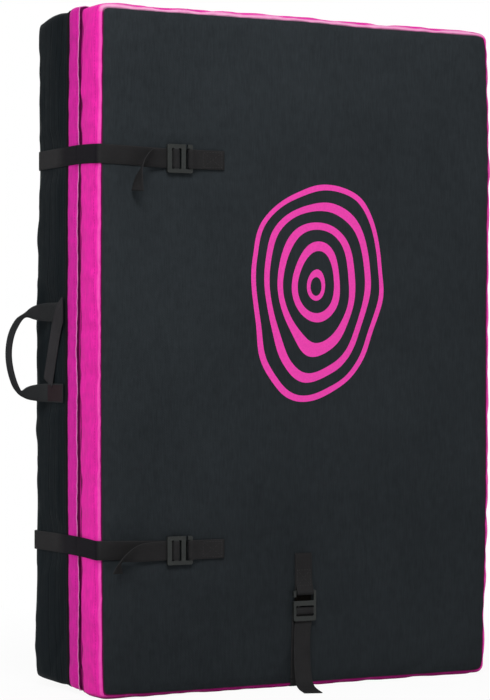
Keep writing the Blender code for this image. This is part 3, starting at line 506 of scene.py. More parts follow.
def faceFinish():
    # the charcoal face with a printed set of nested contour loops
    kind = {**shell, "rough": 0.78, "creaseScale": (9.0, 9.0, 9.0), "thread": 1.6}
    finish = shellCloth("charcoalShell", fabric["charcoal"], kind)
    where = finish.place()
    x, _, z = finish.axes(where)
    warp = finish.noise(where, 7.0, 1.0)
    across = (x - (padX + art["x"])) * (2 / art["width"])
    up = (z - art["z"]) * (2 / art["height"])
    radius = (across * across + up * up).maths("SQRT") + (warp - 0.5) * art["wobble"]
    band = ((radius * art["rings"]).maths("FRACT") - 0.5).maths("ABSOLUTE") < art["line"]
    mask = band * (radius < 1.0) * (radius > 0.1)
    plain = Wire(finish, finish.shader.inputs["Base Color"].links[0].from_socket)
    specks = finish.noise(where, 400.0, 1.0)
    ink = finish.mix(specks, tint(art["colour"], 0.88), tint(art["colour"], 1.12))
    # the face is a little lighter towards the top and darker towards the bottom
    patches = finish.noise(finish.scaled(where, (5.0, 5.0, 3.0)), 1.0, 4.0, 0.6)
    upShare = finish.between(z + (patches - 0.5) * 0.25, 0.0, 0.9)
    lowerTone, upperTone = finish.scaled(plain, (0.84, 0.84, 0.84)), finish.scaled(plain, (1.1, 1.1, 1.1))
    cloth = finish.mix(upShare, lowerTone, upperTone)
    finish.feed("Base Color", finish.mix(mask, cloth, ink))
    return finish


# the two halves: profiles of (depth, inset) from the front to the back
frontHalf = {
    "height": pad["height"] - pad["frontDrop"], "depth": 0.0575, "roll": 0.0045, "landingRoll": 0.003,
    "bulge": 0.001, "crown": 0.0028, "landingCrown": 0.0008, "sideRings": 9, "faceRim": 0.0034,
    "ditch": 0.0009,
}
rearHalf = {
    "height": pad["height"], "start": 0.0635, "landingRoll": 0.003, "pinkEnd": 0.096,
    "bindingEnd": 0.1035, "end": 0.2, "roll": 0.008, "bulge": 0.0008, "landingCrown": 0.0008,
}
# how stiff a cushion's cloth is, how hard it is blown up, its spare cloth, and its caps
cushioned = {
    "bending": 0.4, "pressure": 3.0, "spare": 0.012, "swell": 0.0026, "sink": 0.002, "slide": 0.004,
}


def quarter(roll, depth, facing, steps):
    # a quarter circle from the side of the pad to its face
    angle = np.radians(np.linspace(0, 90, steps))
    pairs = zip(np.sin(angle), np.cos(angle))
    return [(depth - facing * roll * (1 - s), roll * (1 - c)) for s, c in pairs]


def sideRun(start, end, bulge, steps):
    # the side between two seams, which bows out as a sine
    t = np.linspace(0, 1, steps + 2)[1:-1]
    return [(start + (end - start) * a, -bulge * math.sin(math.pi * a)) for a in t]


roll = frontHalf["roll"]
frontProfile = [(-0.0003, roll + frontHalf["faceRim"]), (frontHalf["ditch"], roll + 0.0008)]
frontProfile += quarter(roll, 0, -1, 5)[::-1]
landingStart = frontHalf["depth"] - frontHalf["landingRoll"]
frontProfile += sideRun(roll, landingStart, frontHalf["bulge"], frontHalf["sideRings"])
frontSeam = len(frontProfile)
frontProfile += quarter(frontHalf["landingRoll"], frontHalf["depth"], 1, 4)


def frontSlot(i):
    # which finish a ring takes: 0 the face, 1 the pink side, 2 the landing face
    return 2 if i == -2 else 0 if i < 1 else 1


frontCrowns = (frontHalf["crown"], frontHalf["landingCrown"])
frontSkin, frontAround, frontDown = padSkin(
    "front_half_skin", frontHalf["height"], frontProfile, frontCrowns, frontSlot, 1)

rearProfile = quarter(rearHalf["landingRoll"], rearHalf["start"], -1, 4)[::-1]
rearSeam = len(rearProfile) - 1
pinkStart, pinkEnd = rearHalf["start"] + rearHalf["landingRoll"], rearHalf["pinkEnd"]
rearProfile += sideRun(pinkStart, pinkEnd, rearHalf["bulge"], 4)
bindingStart = len(rearProfile)
rearProfile += [(pinkEnd, 0.0008), ((pinkEnd + rearHalf["bindingEnd"]) / 2, 0.0002)]
coverStart = len(rearProfile)
rearProfile += [(rearHalf["bindingEnd"], 0.0008)]
coverEnd = rearHalf["end"] - rearHalf["roll"]
rearProfile += sideRun(rearHalf["bindingEnd"], coverEnd, rearHalf["bulge"] + 0.0008, 13)
rearProfile += quarter(rearHalf["roll"], rearHalf["end"], 1, 6)


def rearSlot(i):
    # 0 the landing face, 1 the pink side, 2 the cover
    if i == -1:
        return 0
    return 1 if 0 <= i < bindingStart else 2


rearCrowns = (rearHalf["landingCrown"], 0.0)
rearSkin, rearAround, rearDown = padSkin(
    "rear_half_skin", rearHalf["height"], rearProfile, rearCrowns, rearSlot, -1)


def ringNumbers(around, *rings):
    return np.concatenate([ring * around + np.arange(around) for ring in rings])


print("skins laid out:", len(frontSkin.data.vertices), "and", len(rearSkin.data.vertices), "points")

# the harness on the back: padded strips, each with a middle line, a half width and a thickness
harness = {
    "yokeWidth": 0.22, "yokeHeight": 0.06, "yokeThickness": 0.003, "yokeTop": 0.82,
    "shoulderX": 0.07, "spread": 0.045, "length": 0.4, "width": 0.065, "thickness": 0.012,
    "lockLength": 0.03, "lockPlate": 0.0035, "lowerX": 0.235, "lowerHeight": 0.055, "tail": 0.085,
    "beltHeight": 0.105, "beltHinge": 0.16, "wing": 0.098, "wingRoot": 0.085, "beltWeb": 0.028,
    "buckleThickness": 0.009, "clear": 0.0003,
}
shoulderShares = np.array([
    (0.0, 0.0, 0.72), (0.05, 0.0, 0.9), (0.2, 0.04, 1.0), (0.4, 0.22, 1.0),
    (0.6, 0.55, 0.96), (0.8, 0.86, 0.8), (0.95, 0.99, 0.58), (1.0, 1.0, 0.46),
])
wingShares = np.array([(0.0, 0.94), (0.06, 1.0), (0.35, 0.97), (0.65, 0.8), (0.9, 0.6), (1.0, 0.5)])
backBase = backY + harness["clear"]


def smoothed(shares, column, t):
    # a table read with its corners rounded off by a moving mean
    fine = np.linspace(-0.2, 1.2, 281)
    values = np.interp(fine, shares[:, 0], shares[:, column])
    kernel = np.ones(13) / 13
    return np.interp(t, fine, np.convolve(np.pad(values, 6, "edge"), kernel, "valid"))


def pillow(name, middles, ways, halves, thickness, across=14):
    # a sewn strip: the top rises as (1 - s^4)^0.5 across and drops off at its ends, the bottom is
    # flat on the back, and both share their border. Ways is the direction of the width
    rows = len(middles)
    s = np.linspace(-1, 1, across + 1)
    t = np.linspace(-1, 1, rows)
    puff = np.sqrt(np.clip(1 - np.abs(s[None]) ** 4, 0, 1))
    puff = puff * np.sqrt(np.clip(1 - np.abs(t[:, None]) ** 24, 0, 1))
    flat = middles[:, None] + ways[:, None] * (s[None, :, None] * halves[:, None, None])
    top, bottom = flat.copy(), flat.copy()
    top[..., 1] = backBase + thickness * (0.3 + 0.62 * puff)
    bottom[..., 1] = backBase + 0.3 * thickness * (1 - puff)
    border = np.zeros((rows, across + 1), bool)
    border[[0, -1]] = border[:, [0, -1]] = True
    index = np.arange(border.size).reshape(border.shape)
    under = np.where(border, index, 0)
    under[~border] = border.size + np.arange((~border).sum())
    run = runAlong(middles)
    uv = np.stack([s[None] * halves[:, None], np.repeat(run[:, None], across + 1, 1)], -1)
    ends = np.minimum(run, run[-1] - run)[:, None]
    edge = np.stack([np.minimum((1 - np.abs(s[None])) * halves[:, None], ends), uv[..., 1]], -1)
    flip = np.dot(np.cross(middles[-1] - middles[0], ways[0]), (0, 1, 0)) > 0
    over = slice(None, None, -1) if flip else slice(None)
    down = slice(None) if flip else slice(None, None, -1)

    def bothSides(above, below):
        above, below = cornersOf(above)[:, over], cornersOf(below)[:, down]
        return np.vstack([above.reshape(-1, above.shape[-1]), below.reshape(-1, below.shape[-1])])

    quads = bothSides(index[..., None], under[..., None]).reshape(-1, 4)
    points = np.vstack([top.reshape(-1, 3), bottom[~border]])
    obj = makeMesh(name, points, quads, bothSides(uv, uv), None, (), bothSides(edge, edge))
    return obj, index[border]


def layHarness():
    # yields each padded strip with its border, its thickness, its body and the node it stands for
    top = harness["yokeTop"] - harness["yokeHeight"] - harness["clear"]
    thick = harness["thickness"]

    def strip(name, x, z, way, halves, thickness):
        middles = np.stack([x, np.zeros(len(x)), np.broadcast_to(z, len(x))], 1)
        ways = np.repeat([way], len(x), 0)
        return (*pillow(name, middles, ways, np.broadcast_to(halves, len(x)), thickness), thickness)

    for side, sign in (("left", -1), ("right", 1)):
        t = np.linspace(0, 1, 64)
        x = padX + sign * (harness["shoulderX"] + harness["spread"] * smoothed(shoulderShares, 1, t))
        halves = harness["width"] / 2 * smoothed(shoulderShares, 2, t)
        z = top - harness["length"] * t
        laid = strip("shoulder_strap_" + side, x, z, (1.0, 0, 0), halves, thick)
        yield (*laid, "shoulder_" + side, "shoulder_pad_" + side)
        t = np.linspace(0, 1, 28)
        x = padX + sign * (harness["beltHinge"] - harness["wing"] * t)
        halves = harness["wingRoot"] / 2 * smoothed(wingShares, 1, t)
        laid = strip("belt_pad_" + side, x, harness["beltHeight"], (0, 0, 1.0), halves, thick)
        yield (*laid, "belt_" + side, "belt_wing_" + side)
    x = padX + harness["yokeWidth"] * (np.linspace(0, 1, 30) - 0.5)
    half = harness["yokeHeight"] / 2
    laid = strip("yoke_panel", x, harness["yokeTop"] - half, (0, 0, 1.0), half, harness["yokeThickness"])
    yield (*laid, "rear_half", "harness_yoke")


harnessPads = list(layHarness())
layCloth(frontSkin, ringNumbers(frontAround, 1, frontSeam, len(frontProfile) - 1), cushioned)
rearRings = (0, rearSeam, bindingStart, coverStart, len(rearProfile) - 1)
layCloth(rearSkin, ringNumbers(rearAround, *rearRings), cushioned)
soft = {"bending": 0.2, "pressure": 4.0, "spare": 0.02, "sink": 0.001, "slide": 0.001}
for obj, border, thickness, _, _ in harnessPads:
    layCloth(obj, border, {**soft, "swell": thickness * 0.09})
blowUp()
print("cloth settled")

# creases of the face: both ends as x from the open side and height, then width and depth
creases = [
    ((0.02, 0.676, 0.085, 0.652), 0.016, 0.0016), ((0.012, 0.441, 0.24, 0.4405), 0.005, 0.0007),
    ((0.25, 0.066, 0.29, 0.004), 0.007, 0.001), ((0.06, 0.64, 0.15, 0.61), 0.03, 0.0008),
    ((0.33, 0.56, 0.56, 0.59), 0.05, 0.0007), ((0.1, 0.3, 0.42, 0.25), 0.06, 0.0008),
    ((0.43, 0.12, 0.59, 0.17), 0.04, 0.0007),
]
creaseShare = 1.3

# how the foam has settled: height, how far the fold side stands out, and how far the cover's back
# edge stands out at the opening
settled = np.array([
    (0.0, -0.0024, 0.003), (0.02, -0.0024, 0.005), (0.045, -0.0022, 0.007), (0.075, -0.0019, 0.0058),
    (0.11, -0.0014, 0.0042), (0.17, 0.0, 0.003), (0.243, 0.0018, 0.0018), (0.35, 0.0012, 0.0026),
    (0.42, 0.0012, 0.0026), (0.53, 0.0016, 0.0012), (0.62, 0.0034, 0.0), (0.68, 0.0048, -0.0018),
    (0.727, 0.0054, -0.0006), (0.8, 0.0044, 0.0004), (0.864, 0.0031, 0.0), (0.9, 0.002, 0.0),
])

# the lip of the rear half on the opening side: height, and how far it leans to the front
lipSway = np.array([
    (0.0, 0.0004), (0.06, -0.0008), (0.11, 0.0014), (0.15, 0.0022), (0.19, 0.0006), (0.235, -0.001),
    (0.3, 0.0012), (0.345, -0.0004), (0.4, 0.001), (0.45, -0.0012), (0.5, 0.0006), (0.56, 0.0016),
    (0.607, 0.0002), (0.662, 0.0012), (0.693, 0.003), (0.72, 0.003), (0.754, 0.0006), (0.783, 0.0022),
    (0.832, -0.0006), (0.868, 0.0014), (0.893, 0.0004),
])
lipLean = {"share": 1.5, "back": 0.0012}

# lifts and drops of the edges: the rear half's foot and how much more at its back, the front
# corner's foot, the top at the opening in front and how much more behind, at the back, past the middle
slump = {
    "foot": 0.003, "backFoot": 0.0046, "cornerFoot": 0.0016, "topFront": 0.001, "topRear": 0.0028,
    "backDroop": 0.0048, "farDroop": 0.0024,
}


def settle(points):
    # moves each edge by its lift times smooth steps of depth, width and height
    x, depth, z = points[:, 0] - padX, points[:, 1] - faceY, points[:, 2].copy()
    out, cover = (np.interp(z, settled[:, 0], settled[:, i]) for i in (1, 2))
    points[:, 0] += out * smoothStep(x, 0.15, 0.29)
    points[:, 0] -= cover * smoothStep(depth, 0.12, 0.19) * smoothStep(-x, 0.2, 0.29)
    rear = smoothStep(depth, 0.058, 0.064)
    hang = slump["foot"] + slump["backFoot"] * smoothStep(depth, 0.055, 0.19)
    points[:, 2] += hang * rear * (1 - smoothStep(z, 0.0, 0.1))
    top, opening = smoothStep(z, 0.8, pad["height"]), 1 - smoothStep(x, -0.29, -0.2)
    points[:, 2] -= slump["backDroop"] * smoothStep(depth, 0.125, 0.19) * top
    raised = slump["topFront"] + slump["topRear"] * rear
    points[:, 2] += raised * (1 - smoothStep(depth, 0.09, 0.125)) * opening * top
    points[:, 2] += slump["cornerFoot"] * opening * (1 - smoothStep(z, 0.0, 0.06))
    points[:, 2] -= slump["farDroop"] * smoothStep(x, -0.02, 0.1) * top
    return points


def borderShare(x, z):
    # 0 in the middle of the pad and 1 on its outline
    return np.maximum(np.abs(x) / 0.301, np.abs(z - middle) / 0.449)


def dressFront():
    points, normals = settle(pointsOf(frontSkin)), normalsOf(frontSkin)
    x, depth, z = points[:, 0] - padX, points[:, 1] - faceY, points[:, 2]
    onFace = smoothStep(-normals[:, 1], 0.6, 0.95)
    onSide = 1 - smoothStep(np.abs(normals[:, 1]), 0.3, 0.7)
    push = 0.0006 * ripple(points, 0.16, 14, 3) * onFace
    fromLeft = x + pad["width"] / 2
    for ends, width, deep in creases:
        distance, along = segmentDistance(fromLeft, z, ends)
        fading = np.sin(math.pi * (0.08 + 0.84 * along))
        push -= creaseShare * deep * bump(distance, width) * fading * onFace
    # the side puckers along its seams
    nearGap = smoothStep(depth, 0.03, 0.052)
    push += onSide * 0.0007 * ripple(points, 0.05, 16, 5, (1, 0.5, 1))
    push += onSide * 0.0009 * nearGap * ripple(points, 0.03, 12, 6, (1, 0.2, 1))
    points += normals * push[:, None]
    # the landing edge wanders into the fold gap
    edge = smoothStep(depth, 0.044, 0.0545) * smoothStep(borderShare(x, z), 0.93, 0.98)
    points[:, 1] += edge * 0.0013 * (ripple(points, 0.11, 10, 8, (1, 0.01, 1)) - 0.5)
    points[:, 2] = np.maximum(points[:, 2], 0.0004)
    setPoints(frontSkin, points)


def dressRear():
    points, normals = settle(pointsOf(rearSkin)), normalsOf(rearSkin)
    depth = points[:, 1] - faceY
    onSide = 1 - smoothStep(np.abs(normals[:, 1]), 0.3, 0.8)
    cover = smoothStep(depth, 0.1045, 0.113)
    pinkPart = smoothStep(depth, 0.064, 0.07) * (1 - smoothStep(depth, 0.09, 0.096))
    # long soft folds run along the cover's sides: sines of the depth, which wander with height
    wander = 0.006 * ripple(points, 0.35, 8, 11, (1, 0.01, 1))
    folds = np.sin((depth + wander) * 2 * math.pi / 0.034)
    folds += 0.6 * np.sin((depth - 1.4 * wander) * 2 * math.pi / 0.019 + 1.1)
    push = 0.00022 * folds * (0.3 + 0.7 * ripple(points, 0.2, 10, 12, (1, 0.1, 1)))
    push = push + 0.0006 * ripple(points, 0.07, 14, 13)
    push = onSide * cover * (push + 0.0005 * ripple(points, 0.16, 9, 17, (1, 0.2, 1)))
    push += onSide * pinkPart * 0.0007 * ripple(points, 0.045, 14, 14, (1, 0.3, 1))
    push += (1 - onSide) * 0.0005 * ripple(points, 0.15, 12, 15)
    points += normals * push[:, None]
    # the sewn lip wanders to and fro along the fold gap
    x, z = points[:, 0] - padX, points[:, 2]
    lip = (1 - smoothStep(depth, 0.066, 0.082)) * smoothStep(borderShare(x, z), 0.955, 0.985)
    sway = 0.0012 * (ripple(points, 0.09, 10, 18, (1, 0.01, 1)) - 0.5)
    opening = 1 - smoothStep(x, -0.3, -0.27)
    seen = lipLean["share"] * np.interp(z, lipSway[:, 0], lipSway[:, 1]) - lipLean["back"]
    points[:, 1] -= lip * (sway * (1 - opening) + opening * seen)
    points[:, 2] = np.maximum(points[:, 2], 0.0004)
    setPoints(rearSkin, points)


dressFront()
dressRear()


# webbing: a path of rows, each a place, a direction of width, a width and a thickness
def smoothPath(rows, cuts=3, step=0.0025):
    # corners are cut to quarters a few times, and the path is then stepped off evenly
    rows = np.array(rows, float)
    for _ in range(cuts):
        first, second = rows[:-1] * 0.75 + rows[1:] * 0.25, rows[:-1] * 0.25 + rows[1:] * 0.75
        between = np.stack([first, second], 1).reshape(-1, rows.shape[1])
        rows = np.vstack([rows[:1], between[1:-1], rows[-1:]])
    length = runAlong(rows[:, :3])
    places = np.linspace(0, length[-1], max(int(length[-1] / step), 4) + 1)
    return np.stack([np.interp(places, length, column) for column in rows.T], 1), places


def unit(vectors):
    return vectors / np.linalg.norm(vectors, axis=-1, keepdims=True)


def framesOf(rows, skew=False):
    tangent = unit(np.gradient(rows[:, :3], axis=0))
    side = unit(rows[:, 3:6])
    if not skew:
        side = unit(side - tangent * (tangent * side).sum(1)[:, None])
    return tangent, side, unit(np.cross(tangent, side))


def bothHalves(upper):
    return np.vstack([upper, upper[::-1] * (1, -1)])


# sections as shares of the width and the thickness
flatSection = bothHalves(np.array([
    (-1, 0.24), (-0.96, 0.44), (-0.6, 0.5), (-0.2, 0.5),
    (0.2, 0.5), (0.6, 0.5), (0.96, 0.44), (1, 0.24),
]))
turns = np.radians(180 - (np.arange(8) + 0.5) * 22.5)
roundSection = bothHalves(np.stack([np.cos(turns), 0.5 * np.sin(turns)], 1))


def ribbon(name, rows, body, finish, cuts=3, step=0.0025, flutter=0.0, seed=1, skew=False,
           section=flatSection):
    # webbing along a path: each point is the row's place + side v + up h, with v and h from the
    # section. The flat section becomes an oval where a row's last number is 1
    rows, places = smoothPath(rows, cuts, step)
    tangent, side, up = framesOf(rows, skew)
    shape = section[None]
    if rows.shape[1] > 8:
        rolled = rows[:, 8, None, None]
        shape = shape * (1 - rolled) + roundSection[None] * rolled
    v = shape[..., 0] * rows[:, 6, None] / 2
    h = shape[..., 1] * rows[:, 7, None]
    points = rows[:, None, :3] + side[:, None] * v[..., None] + up[:, None] * h[..., None]
    if flutter:
        wave = flutter * ripple(rows[:, None, :3] + side[:, None] * v[..., None], 0.045, 9, seed)
        points = points + up[:, None] * wave[..., None]
    count, around = v.shape
    quads = gridQuads(count, around, 0, True)[:, ::-1]
    across = section[:, 0] / 2 * rows[0, 6] + rows[0, 6] / 2
    uv = np.stack([np.repeat(places[:, None], around, 1), np.repeat(across[None], count, 0)], -1)
    uv = cornersOf(uv, True)[:, ::-1].reshape(-1, 2)
    last = (count - 1) * around
    ends = (range(around), range(last + around - 1, last - 1, -1))
    obj = makeMesh(name, points.reshape(-1, 3), quads, uv, None, ends)
    obj.data.materials.append(finish.material)
    if body:
        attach(obj, body)
    return obj, rows, up


pressed = {"half": 0.0125, "look": 0.05, "thick": 0.02, "rise": 0.003, "over": 0.02}


def pressUnder(skin, rows, outs, clear=0.0009):
    # cloth under a strap is pushed in to lie below it, and rises again with the square of the
    # distance from the strap's edge
    points = pointsOf(skin)
    path, across = rows[:, :3], unit(rows[len(rows) // 2, 3:6])
    low, high = path.min(0) - pressed["look"], path.max(0) + pressed["look"]
    around = np.flatnonzero(((points > low) & (points < high)).all(1))
    spots = points[around]
    flatPath = path - (path @ across)[:, None] * across
    flatSpots = spots - (spots @ across)[:, None] * across
    distance = np.linalg.norm(flatSpots[:, None] - flatPath[None], axis=2)
    closest = distance.argmin(1)
    out = outs[closest]
    offset = spots - path[closest]
    height = (offset * out).sum(1)
    beyond = np.sqrt(np.maximum(distance.min(1) ** 2 - height ** 2, 0))
    away = np.hypot(np.maximum(np.abs(offset @ across) - pressed["half"], 0), beyond)
    limit = -clear + pressed["rise"] * (away / pressed["over"]) ** 2
    push = np.where(np.abs(height) < pressed["thick"], np.minimum(limit - height, 0), 0)
    points[around] += out * push[:, None]
    setPoints(skin, points)


yarns = {"column": 0.0062, "pitch": 0.0017, "slant": 1.9, "hem": 0.0013, "inset": 0.0026, "edge": 0.0006}


def webbingFinish(name, colour, boxes=(), tacks=(), width=0.025, shadedDepths=()):
    # nylon webbing: chevrons of yarn in columns, paler edges, painted shade between two depths, boxes of
    # stitches with a cross, and tacks in bars
    finish = Finish(name, Sheen_Weight=0.0, Specular_IOR_Level=0.03)
    where = finish.place()
    u, v, _ = finish.axes(finish.place("UV"))
    column = ((v / yarns["column"]).maths("FRACT") - 0.5).maths("ABSOLUTE") * 2
    yarn = ((u / yarns["pitch"] + column * yarns["slant"]) * (2 * math.pi)).maths("SINE")
    hem = near(v, 0.0, yarns["hem"]) + near(v, width, yarns["hem"])
    wide = finish.noise(where, 30.0, 3.0)
    fine = finish.noise(where, 700.0, 1.0)
    level = finish.between(wide, 0.3, 0.7, 0.35, 0.65) + finish.between(fine, 0.3, 0.7, -0.1, 0.1)
    level = level + yarn * 0.07
    base = finish.mix(level, tint(colour, 0.62), tint(colour, 1.38))
    base = finish.mix(hem * 0.5, base, tint(colour, 1.5))
    # painted shade on the webbing between two depths behind the face
    for low, high in shadedDepths:
        depth = finish.axes(where)[1]
        paintedShade = finish.between(depth, low, low + 0.004) * finish.between(depth, high, high - 0.03)
        base = finish.mix(paintedShade, base, finish.scaled(base, (0.34, 0.3, 0.4)))
    normal = finish.relief(yarn * 0.5 - hem, 0.00028, 0.8)
    inset, edge = yarns["inset"], yarns["edge"]
    for start, end, shade in boxes:
        run, rise = end - start, width - 2 * inset
        slope = (u - start) * (rise / run)
        lines = stitchMask(u, v, inset) + stitchMask(u, v, width - inset)
        lines = lines + stitchMask(v, u, start) + stitchMask(v, u, end)
        lines = lines + stitchMask(u, v - slope, inset) + stitchMask(u, v + slope, inset + rise)
        inside = (u > start - edge) * (u < end + edge) * (v > inset - edge) * (v < width - inset + edge)
        mask = (lines * inside).maths("MINIMUM", 1.0)
        base = finish.mix(mask, base, shade)
        normal = finish.relief(mask, 0.0005, 0.9, normal)
    for start, end, shade in tacks:
        bars = ((v / 0.0011).maths("FRACT") < 0.7) * (u > start) * (u < end)
        bars = bars * (v > 0.0015) * (v < width - 0.0015)
        base = finish.mix(bars, base, shade)
        normal = finish.relief(bars, 0.0005, 0.9, normal)
    finish.feed("Base Color", base)
    finish.feed("Roughness", finish.between(fine, 0.3, 0.7, 0.62, 0.78))
    finish.feed("Normal", normal)
    return finish


strap = {
    "web": 0.0013, "width": 0.025, "clear": 0.0003, "turn": 0.00645, "backTurn": 0.0085, "lap": 0.045,
    "fromEdge": 0.1308, "patch": 0.0514, "bottomPatch": 0.0519, "bar": 0.0066, "hug": 0.001,
    "sideThroat": 0.0058, "bottomThroat": 0.0097, "hookBar": 0.0044,
    "slot": 0.0036, "load": 0.00095, "return": 0.00255, "plateLow": 0.0035,
    "barLevel": 0.005, "over": 0.00745, "loop": 0.0038, "bulge": 0.0015, "rise": 0.0055,
    "gap": 0.0605, "back": 0.2, "coverRoll": 0.008, "sink": 0.0016, "skew": 0.006,
    "tailLean": 28,
}
# each tail as shares of its reach, its lift off the face and its drop, and at the sides its turn to
# edge-on and its turn beyond that
tails = {
    "upper": {"left": 0.047, "drop": 0.0445, "out": 0.015, "tight": 0.0026},
    "lower": {"left": 0.0735, "drop": 0.026, "out": 0.0115, "tight": -0.0022},
    "bottom": {"out": 0.0748, "sweep": -0.0256, "rest": 0.0008},
}
upperTailShares = (
    (0.2, 0.12, 0.0, 0.05, 0.0), (0.39, 0.38, 0.0, 0.2, 0.0), (0.57, 0.7, 0.02, 0.45, 0.0),
    (0.73, 0.94, 0.09, 0.75, 0.0), (0.85, 1.0, 0.23, 1.0, 0.0), (0.93, 1.0, 0.43, 1.0, -0.15),
    (0.97, 0.98, 0.65, 1.0, -0.3), (0.99, 0.94, 0.86, 1.0, -0.4), (1.0, 0.92, 1.0, 1.0, -0.45),
)
lowerTailShares = (
    (0.2, 0.1, 0.0, 0.02, 0.0), (0.42, 0.34, 0.01, 0.14, 0.0), (0.61, 0.66, 0.04, 0.36, 0.0),
    (0.77, 0.88, 0.11, 0.62, 0.0), (0.89, 0.98, 0.25, 0.86, 0.0), (0.96, 1.0, 0.49, 1.0, 0.04),
    (0.99, 0.96, 0.75, 1.0, 0.2), (1.0, 0.92, 1.0, 1.0, 0.3),
)
bottomTailShares = (
    (0.1, 0.03, 0.12), (0.3, 0.05, 0.18), (0.5, 0.08, 0.22), (0.7, 0.14, 0.29),
    (0.86, 0.23, 0.37), (0.95, 0.35, 0.47), (0.99, 0.55, 0.63), (1.0, 1.0, 1.0),
)
threadGrey, threadBrown = (0.034, 0.033, 0.034, 1), (0.03, 0.0165, 0.02, 1)
# the depths of the straps' run along the pad's side, where they get painted shade
sideRunShade = ((faceY - 0.001, faceY + 0.13),)
webColour = fabric["webbing"]
plainWebbing = webbingFinish("plainWebbing", webColour, shadedDepths=sideRunShade)
sideAnchorWebbing = webbingFinish("sideAnchorWebbing", webColour, [(0.083, 0.111, threadGrey)])
bottomAnchorWebbing = webbingFinish("bottomAnchorWebbing", webColour, [(0.073, 0.094, threadGrey)])
strandWebbing = webbingFinish("strandWebbing", fabric["strand"])
shadeWebbing = webbingFinish("shadeWebbing", fabric["shade"])


def halfWidthAt(height):
    # the pad's side bows out as a parabola
    return pad["width"] / 2 - pad["bow"] * (2 * height / pad["height"] - 1) ** 2


def strapPlace(buckle, along, barX, barZ):
    # place of a point given along a closure strap, out of the face and across the strap. Its
    # start is on the buckle's hook bar, and its lift is read from the buckle
    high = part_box(buckle)[1]
    along, out = np.array(along, float), np.array([0, -1.0, 0])
    wide = np.cross(out, along)
    start = np.array([barX, faceY, barZ])
    lift = faceY - high.y - strap["plateLow"]

    def place(u, n, w=0.0):
        return start + along * u + out * n + wide * w

    return place, wide, lift


def slotsOf(throat):
    # where the webbing goes through the two slots, close to the middle bar, and the buckle's end
    far = strap["hookBar"] / 2 + throat + strap["bar"]
    following = far + strap["slot"] + strap["bar"]
    half, end = strap["slot"] / 2, following + strap["slot"] + strap["bar"]
    return far + half + strap["hug"], following + half - strap["hug"], end


def threaded(lift, throat):
    # from under the buckle up through one slot, over the middle bar and down through the other
    far, following, end = slotsOf(throat)
    over = strap["over"] - 0.0002
    levels = [
        (far - 0.001, strap["load"]), (far, strap["load"] + 0.0012), (far, over - 0.0012),
        (far + 0.0008, over), (following - 0.0008, over), (following, over - 0.0012),
        (following, strap["return"] + 0.001), (following + 0.0008, strap["return"]),
        (end + strap["web"], strap["return"]),
    ]
    return [(u, n + lift) for u, n in levels]


def webRows(points, across, width=strap["width"], thick=strap["web"]):
    across = across if isinstance(across, list) else [across] * len(points)
    return [[*point, *way, width, thick] for point, way in zip(points, across)]


def makeAnchor(name, place, wide, lift, length, throat, finish):
    # webbing sewn to the face that runs round the hook bar as a circle and back over itself
    loop = strap["loop"]
    path = [(-length, strap["load"]), (-2 * loop, strap["load"])]
    for angle in np.radians(range(-90, 91, 20)):
        path.append((loop * math.cos(angle), strap["barLevel"] + loop * math.sin(angle)))
    path += [(-2 * loop, strap["barLevel"]), (-4 * loop, strap["return"])]
    path.append((strap["web"] - length, strap["return"]))
    points = [place(u, n + lift) for u, n in path]
    obj, _, _ = ribbon(name, webRows(points, wide), "front_half", finish, cuts=2, step=0.0018)
    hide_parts(name.replace("_loop", ""))
    # a flat near-black strip of webbing lies in the throat as painted shade, where the buckle shades the
    # face
    points = [place(u, 0.001 + lift) for u in (loop + 0.0006, strap["hookBar"] / 2 + throat + 0.002)]
    rows, shadeStripName = webRows(points, wide), name.replace("loop", "fold")
    fold, _, _ = ribbon(shadeStripName, rows, "front_half", shadeWebbing, cuts=1, step=0.002)


quarterTurn = [math.radians(step) for step in (0, 30, 60, 90)]


